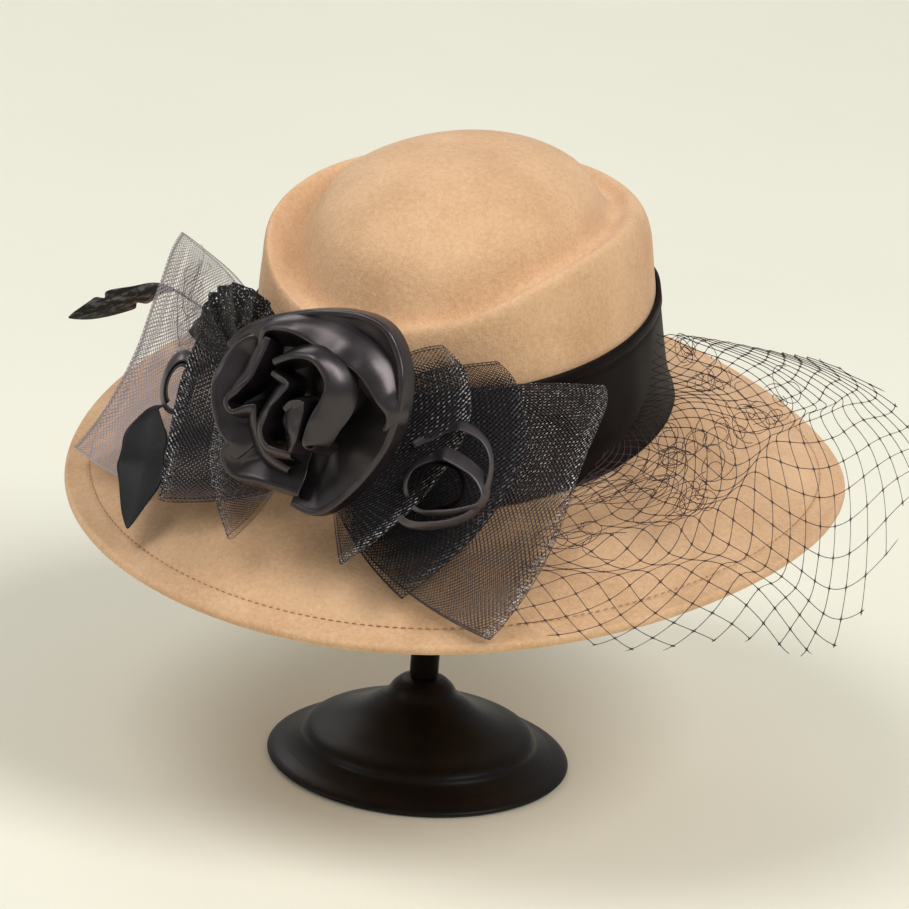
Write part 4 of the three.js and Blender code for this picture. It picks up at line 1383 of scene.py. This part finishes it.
@dataclass
class Veil:
    """Open diamond net, thread by thread, gathered along two folds, with knots at its crossings and loose curls."""

    block: HatBlock
    roots: tuple = (74, 81, 86, 91, 97, 103, 109)
    turns: tuple = (36.5, 50, 64, 78, 90, 101, 111)
    outs: tuple = (0.96, 1.08, 1.18, 1.25, 1.26, 1.15, 0.92)
    fars: tuple = (-0.13, -0.20, -0.20, -0.32, 0.10, 0.26, 0.30)
    nears: tuple = (0.09, 0.10, 0.12, 0.15, 0.20, 0.28, 0.36)
    puffs: tuple = (0.06, 0.10, 0.14, 0.26, 0.12, 0.06, 0.02)
    folds: tuple = (
        ((0.00, 0.09, 0.23, 0.32, 0.39, 0.50), (0.76, 0.74, 0.735, 0.765, 0.825, 0.88), (0.80, 0.90, 0.90, 0.80, 0.60, 0.0)),
        ((0.06, 0.12, 0.20, 0.27, 0.37, 0.50, 0.58, 0.69, 0.76, 0.86),
         (0.62, 0.545, 0.55, 0.567, 0.575, 0.525, 0.517, 0.60, 0.725, 0.86),
         (0.0, 0.80, 0.90, 0.90, 0.90, 0.90, 0.95, 0.95, 0.80, 0.0)),
    )
    curl_spots: tuple = (
        (0.05, 0.25, 9), (0.16, 0.34, 10), (0.30, 0.27, 9), (0.33, 0.50, 8), (0.08, 0.58, 7), (0.58, 0.39, 8),
        (0.74, 0.25, 8), (0.88, 0.16, 6), (0.45, 0.36, 7), (0.22, 0.46, 7), (0.70, 0.48, 5),
    )
    across: int = 20
    outward: int = 13
    thread: float = 0.17 * MM
    gather: float = 0.11
    knot: float = 1.5
    bow: float = 10.0

    def surface(self, u: np.ndarray, v: np.ndarray) -> np.ndarray:
        """Point of the net: between its edge on the band and its outer edge, raised in a puff and along its folds.

        Args:
            u: 0 at the front edge, 1 at the back.
            v: 0 at the band, 1 at the outer edge.

        Returns:
            Points in the row frame.
        """
        u, v = np.broadcast_arrays(u, v)
        root = along(self.roots, u)
        turn = root + (along(self.turns, u) - root) * v
        turn = turn - self.bow * np.sin(np.pi * np.clip(v, 0, 1) ** 0.8) * np.clip(1 - u / 0.24, 0, 1)
        near_z = self.block.height * along(self.nears, u)
        near = self.block.oval(turn) - near_z * math.tan(self.block.lean) + 2.3 * MM
        far = self.block.brim * along(self.outs, u)
        far_z = self.block.height * along(self.fars, u)
        arch = np.sin(np.pi * np.clip(v, 0, 1) ** 0.8)
        lift = self.block.height * along(self.puffs, u) * arch
        lift = lift + 1.2 * MM * np.sin(u * 15 + 2.5 * v) * np.sin(np.pi * np.clip(v, 0, 1))
        for places, middles, powers in self.folds:
            away = (v - np.interp(u, places, middles)) / 0.05
            lift = lift + 2.5 * MM * np.interp(u, places, powers, right=0.0) * np.exp(-away ** 2)
        return self.block.placed(self.block.ring(turn, near + (far - near) * v, near_z + (far_z - near_z) * v + lift))

    def drawn(self, p: np.ndarray, q: np.ndarray) -> np.ndarray:
        """Point of the net's own cell map: crumpled between the band and the upper fold, drawn in along both folds.

        Args:
            p: cells along the net.
            q: cells out from the band.

        Returns:
            Points in the row frame.
        """
        u = p / self.across
        v = q / self.outward
        upper = np.interp(u, self.folds[1][0], self.folds[1][1])
        crumple = 0.007 + 0.024 * np.clip((upper - v) / 0.12, 0, 1) * np.clip(v / 0.12, 0, 1)
        shift_u = crumple * ripple(p * 0.9, q * 0.9, 31, 8, 1.2) * np.sin(np.pi * np.clip(u, 0, 1)) ** 0.5
        shift_v = crumple * ripple(p * 0.9, q * 0.9, 32, 8, 1.2)
        u = u + shift_u
        v = v + shift_v
        for places, middles, powers in self.folds:
            away = v - np.interp(u, places, middles)
            pull = np.interp(u, places, powers, left=powers[0], right=0.0) * np.exp(-(away / self.gather) ** 2)
            v = v - away * pull * 0.9
        return self.surface(np.clip(u, 0, 1), np.maximum(v, 0.0))

    def threads(self) -> tuple[list[np.ndarray], list[np.ndarray]]:
        """Works out the threads: two sets of slanting lines over the net's cells, swollen at each crossing.

        Returns:
            Points of each thread, and radius shares along it.
        """
        lines = []
        swell = []
        marks = np.array([-0.07, -0.035, 0.0, 0.035, 0.07, 0.17, 0.25, 0.33])
        q = (np.arange(2 * self.outward + 1)[:, None] * 0.5 + marks[None, :]).ravel()
        bulge = np.tile(1 + self.knot * np.exp(-(marks / 0.035) ** 2), 2 * self.outward + 1)
        rng = np.random.default_rng(5)
        for slant in (1, -1):
            for k in range(-self.outward - 1, self.across + self.outward + 2):
                p = k + slant * q
                high = rng.uniform(0.0, 0.35)
                inside = (p >= -0.02) & (p <= self.across + 0.02) & (q >= 0) & (q <= self.outward + high)
                if inside.sum() > 8:
                    lines.append(self.drawn(p[inside], q[inside]))
                    swell.append(bulge[inside])
        return lines, swell

    def curls(self) -> list[np.ndarray]:
        """Works out the curls: loose rings of drifting centre and size over the crumpled part.

        Returns:
            Points of each curl.
        """
        rng = np.random.default_rng(9)
        t = np.linspace(0, 1, 56)
        lines = []
        for u, v, count in self.curl_spots:
            for _ in range(count):
                turns = rng.uniform(0.45, 1.25)
                angle = rng.uniform(0, 6.28) + 2 * np.pi * turns * t
                size = rng.uniform(3.5, 11.0) * (1 + 0.8 * (t - 0.5) * rng.uniform(-1, 1) + 0.12 * np.sin(7 * t + rng.uniform(0, 6)))
                wide = np.interp(v, (0, 0.5, 1), (60, 143, 280))
                deep = 140.0
                middle_u = u + rng.normal(0, 0.03) + rng.uniform(-0.04, 0.04) * t
                middle_v = v + rng.normal(0, 0.045) + rng.uniform(-0.05, 0.05) * t
                cu = np.clip(middle_u + size / wide * np.cos(angle) * rng.uniform(0.5, 1.0), 0.0, 1.0)
                cv = np.clip(middle_v + size / deep * np.sin(angle) * rng.uniform(0.6, 1.0), 0.01, 1.0)
                raise_by = 0.8 * MM * np.sin(angle + rng.uniform(0, 6.28))
                lines.append(self.surface(cu, cv) + np.stack([0 * t, 0 * t, raise_by + 0.4 * MM], axis=-1))
        return lines

    def make(self) -> None:
        """Builds and dresses the veil."""
        lines, swell = self.threads()
        thread = NetFinish("veil_thread").material()
        dress(tubes_of("veil_net", lines, self.thread, 4, swell), thread, "black_net", "veil")
        dress(tubes_of("veil_curls", self.curls(), self.thread * 0.95, 4), thread, "black_net")


@dataclass
class DisplayStand:
    """Turned stand: foot, post and the rounded cap inside the crown."""

    block: HatBlock
    radius: float = 65 * MM
    height: float = 38 * MM
    post: float = 6.2 * MM
    cap: float = 50 * MM
    rows: tuple = (
        (0.97, 0.00), (0.99, 0.02), (1.00, 0.05), (0.97, 0.09), (0.88, 0.15), (0.79, 0.24), (0.76, 0.32), (0.71, 0.38),
        (0.57, 0.46), (0.42, 0.58), (0.31, 0.71), (0.24, 0.80), (0.20, 0.90), (0.155, 0.97), (0.11, 1.00),
    )

    def lathe(self, name: str, profile: np.ndarray, centre: np.ndarray, columns: int = 144) -> bpy.types.Object:
        """Makes a turned piece: a profile from pole to pole carried round a vertical axis.

        Args:
            name: the piece's name.
            profile: radius and height from the lower pole to the upper one.
            centre: point on the axis that heights are from.
            columns: facets round.

        Returns:
            The piece.
        """
        angle = np.arange(columns) * 2 * np.pi / columns
        body = profile[1:-1]
        ring = np.stack([body[:, :1] * np.cos(angle), body[:, :1] * np.sin(angle), body[:, 1:] + 0 * angle], axis=-1) + centre
        poles = np.array([[0, 0, profile[0, 1]], [0, 0, profile[-1, 1]]]) + centre
        count = len(body) * columns
        here = np.arange(columns)
        after = (here + 1) % columns
        low = np.stack([np.full_like(here, count), after, here], axis=-1)
        top = np.stack([np.full_like(here, count + 1), count - columns + here, count - columns + after], axis=-1)
        faces = [quads(len(body), columns, round_columns=True)[:, ::-1], low, top]
        return solid_of(name, np.concatenate([ring.reshape(-1, 3), poles]), faces)

    def foot_profile(self) -> np.ndarray:
        """Profile of the foot: straight lengths between the rows, with their corners eased."""
        rows = np.array(self.rows) * np.array([self.radius, self.height])
        t = np.linspace(0, 1, 90)
        fine = np.stack([along(list(rows[:, k]), t) for k in range(2)], axis=1)
        fine[:, 1] = np.clip(fine[:, 1], 0, self.height)
        flat = np.array([[0, 0], [0.5 * rows[0, 0], 0]])
        return np.concatenate([flat, fine, [[0, self.height]]])

    def make(self) -> None:
        """Builds and dresses the stand."""
        black = LacquerFinish().material()
        origin = np.zeros(3)
        dress(self.lathe("stand_foot", self.foot_profile(), origin), black, "stand_black", "stand_base")
        low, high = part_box("stand_pole")
        ease = 0.8 * MM
        post = np.array([[0, low.z], [self.post - ease, low.z], [self.post, low.z + ease], [self.post, high.z - ease],
                         [self.post - ease, high.z], [0, high.z]])
        dress(self.lathe("stand_post", post, origin, 64), black, "stand_black", "stand_pole")
        low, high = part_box("stand_pad")
        middle = np.array([(low.x + high.x) / 2, (low.y + high.y) / 2, high.z - self.cap])
        angle = np.radians(np.linspace(60, 0, 24))
        dome = np.stack([self.cap * np.sin(angle), self.cap * np.cos(angle)], axis=1)
        skirt = np.array([[0, low.z - middle[2]], [dome[0, 0] - ease, low.z - middle[2]], [dome[0, 0], low.z - middle[2] + ease]])
        cap = self.lathe("stand_cap", np.concatenate([skirt, dome]), middle, 96)
        dress(cap, black, "stand_black", "stand_pad")


@dataclass
class Studio:
    """Pale floor, soft light panels and the camera."""

    azimuth: float = 28.0
    elevation: float = 18.88
    roll: float = 4.56
    distance: float = 2.2
    focal: float = 5237.5
    frame: float = 909.0
    target: tuple[float, float, float] = (0.0, 0.0, 0.180)
    seen_at: tuple[float, float] = (448.4, 363.8)

    def camera(self) -> None:
        """Sets the camera: it stands off at its angles, and its axis and roll put the target where it is seen."""
        a, e, r = (math.radians(x) for x in (self.azimuth, self.elevation, self.roll))
        back = Vector((math.sin(a) * math.cos(e), -math.cos(a) * math.cos(e), math.sin(e)))
        right = Vector((math.cos(a), math.sin(a), 0.0))
        up = back.cross(right)
        place = Vector(self.target) + back * self.distance
        dx = self.seen_at[0] - self.frame / 2
        dy = self.seen_at[1] - self.frame / 2
        over = dx * math.cos(r) + dy * math.sin(r)
        down = -dx * math.sin(r) + dy * math.cos(r)
        aim = Vector(self.target) - (right * over - up * down) * (self.distance / self.focal)
        axis = (place - aim).normalized()
        level = Vector((0, 0, 1)).cross(axis).normalized()
        top = axis.cross(level)
        x = level * math.cos(r) + top * math.sin(r)
        y = top * math.cos(r) - level * math.sin(r)
        lens = bpy.data.cameras.new("camera")
        lens.sensor_width = 36.0
        lens.lens = self.focal * 36.0 / self.frame
        lens.clip_end = 50.0
        camera = bpy.data.objects.new("camera", lens)
        camera.matrix_world = Matrix((
            (x.x, y.x, axis.x, place.x), (x.y, y.y, axis.y, place.y), (x.z, y.z, axis.z, place.z), (0, 0, 0, 1)))
        bpy.context.scene.collection.objects.link(camera)
        bpy.context.scene.camera = camera

    def panel(self, side: Side, place: tuple, size: float, power: float, colour: tuple) -> None:
        """Adds a soft light panel that looks at the hat.

        Args:
            side: which panel it is.
            place: where it stands.
            size: length of its side.
            power: watts.
            colour: of its light.
        """
        lamp = bpy.data.lights.new(side.value, "AREA")
        lamp.shape = "DISK"
        lamp.size = size
        lamp.energy = power
        lamp.color = colour
        holder = bpy.data.objects.new(side.value, lamp)
        holder.location = place
        way = Vector(place) - Vector((0, 0, 0.2))
        holder.rotation_euler = way.to_track_quat("Z", "Y").to_euler()
        bpy.context.scene.collection.objects.link(holder)

    def floor(self) -> None:
        """Makes the pale floor, a wide flat disc."""
        rings = np.array([0.0, 0.6, 3.0, 12.0, 40.0])[1:]
        angle = np.arange(64) * 2 * np.pi / 64
        grid = np.stack([rings[:, None] * np.cos(angle), rings[:, None] * np.sin(angle), 0 * rings[:, None] * angle], axis=-1)
        vertices = np.concatenate([grid.reshape(-1, 3), [[0, 0, 0]]])
        here = np.arange(64)
        fan = np.stack([np.full_like(here, len(vertices) - 1), here, (here + 1) % 64], axis=-1)
        floor = solid_of("floor", vertices, [quads(len(rings), 64, round_columns=True), fan])
        s = Sheet("floor_paper")
        cloud = s.noise(3.0, 4.0)
        s.set(Base_Color=s.mix(cloud, (0.75, 0.735, 0.628), (0.82, 0.81, 0.698)), Roughness=0.9, Specular_IOR_Level=0.1)
        floor.data.materials.append(s.material)

    def make(self) -> None:
        """Builds the studio."""
        self.floor()
        world = bpy.data.worlds.new("studio")
        world.use_nodes = True
        world.node_tree.nodes["Background"].inputs["Color"].default_value = (0.93, 0.94, 0.92, 1.0)
        world.node_tree.nodes["Background"].inputs["Strength"].default_value = 0.38
        bpy.context.scene.world = world
        self.panel(Side.KEY, (3.05, -0.45, 3.6), 2.4, 136.0, (1.0, 0.985, 0.96))
        self.panel(Side.TOP, (-1.3, -1.9, 4.4), 2.4, 85.0, (1.0, 0.99, 0.97))
        self.panel(Side.FILL, (-2.6, -2.6, 2.2), 1.6, 16.0, (1.0, 1.0, 1.0))
        self.panel(Side.RIM, (-2.4, 2.2, 2.6), 1.6, 18.0, (1.0, 0.99, 0.97))
        bpy.context.scene.view_settings.view_transform = "Standard"
        self.camera()


def loops(block: HatBlock) -> list[CrinolineLoop]:
    """The six crinoline loops, right then left.

    Args:
        block: the hat's block.

    Returns:
        The loops.
    """
    table = (
        ("right_wide", ((74, 0.33, 0.062), (57.5, 0.01, 0.070), (34.5, -0.71, 0.050)), ((8, 0.44), (8, -0.12)),
         0.040, 1.6, 0.032, Weave.MEDIUM, 1.0, (0.130, 0.190), 0.11, 0.05),
        ("right_dark", ((42.5, 0.57, 0.125), (43, 0.12, 0.145), (22, -0.49, 0.115)), ((7, 0.46), (7, -0.08)),
         0.035, 1.6, 0.061, Weave.CLOSE, 0.10, (0.120, 0.133), 0.06, 0.10),
        ("right_near", ((30, 0.65, 0.175), (31.5, 0.26, 0.195), (12.5, -0.35, 0.165)), ((6, 0.44), (6, -0.04)),
         0.035, 1.6, 0.090, Weave.CLOSE, 0.55, (0.110, 0.100), 0.08, 0.14),
        ("left_tall", ((-59, 0.56, 0.285), (-60, 0.00, 0.250), (-57, -0.66, 0.060)), ((-10, 0.44), (-10, -0.10)),
         0.060, 2.4, 0.031, Weave.OPEN, 0.0, (0.110, 0.215), 0.16, 0.04),
        ("left_low", ((-36.5, 0.60, 0.158), (-34, 0.10, 0.205), (-24.5, -0.36, 0.130)), ((-9, 0.44), (-9, -0.06)),
         0.035, 1.6, 0.060, Weave.CLOSE, 0.40, (0.090, 0.104), 0.06, 0.10),
        ("left_tail", ((-23, 0.20, 0.170), (-18, -0.08, 0.165), (-7, -0.35, 0.145)), ((-8, 0.42), (-7, -0.04)),
         0.030, 1.6, 0.089, Weave.MEDIUM, 0.5, (0.065, 0.070), 0.03, 0.05),
    )
    made = []
    for number, (name, fold, root, gap, ease, root_lift, weave, glitter, cut, bow, corner) in enumerate(table):
        made.append(CrinolineLoop(block, "loop_" + name, "crinoline_" + name, fold, root, gap, ease, root_lift,
                                  weave, glitter, cut, bow, corner, 50 + number))
    return made


def main() -> None:
    """Builds every sub-assembly in order."""
    logging.basicConfig(level=logging.INFO, format="%(message)s")
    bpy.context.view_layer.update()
    studio = Studio()
    studio.make()
    block = HatBlock()
    FeltHood(block).make()
    SatinBand(block).make()
    for loop in loops(block):
        loop.make()
    SatinRose(block).make()
    RibbonRosette(block).make()
    Plume(block, "plume_upper", "feather_upper", (-52, -74, -79), (0.367, 0.073, -0.544), (0.003, 0.267, 0.323),
          0.22, 0.42, 60, 0, 0.55, 1.25).make()
    Plume(block, "plume_lower", "feather_lower", (-36, -44.5, -32.3, -26.6), (0.05, -0.12, -0.297, -0.56),
          (0.125, 0.16, 0.16, 0.09), 0.31, 0.30, 0, 35, 0.0, 0.95, 0.26).make()
    NetBunch(block).make()
    Veil(block).make()
    DisplayStand(block).make()


if __name__ == "__main__":
    main()
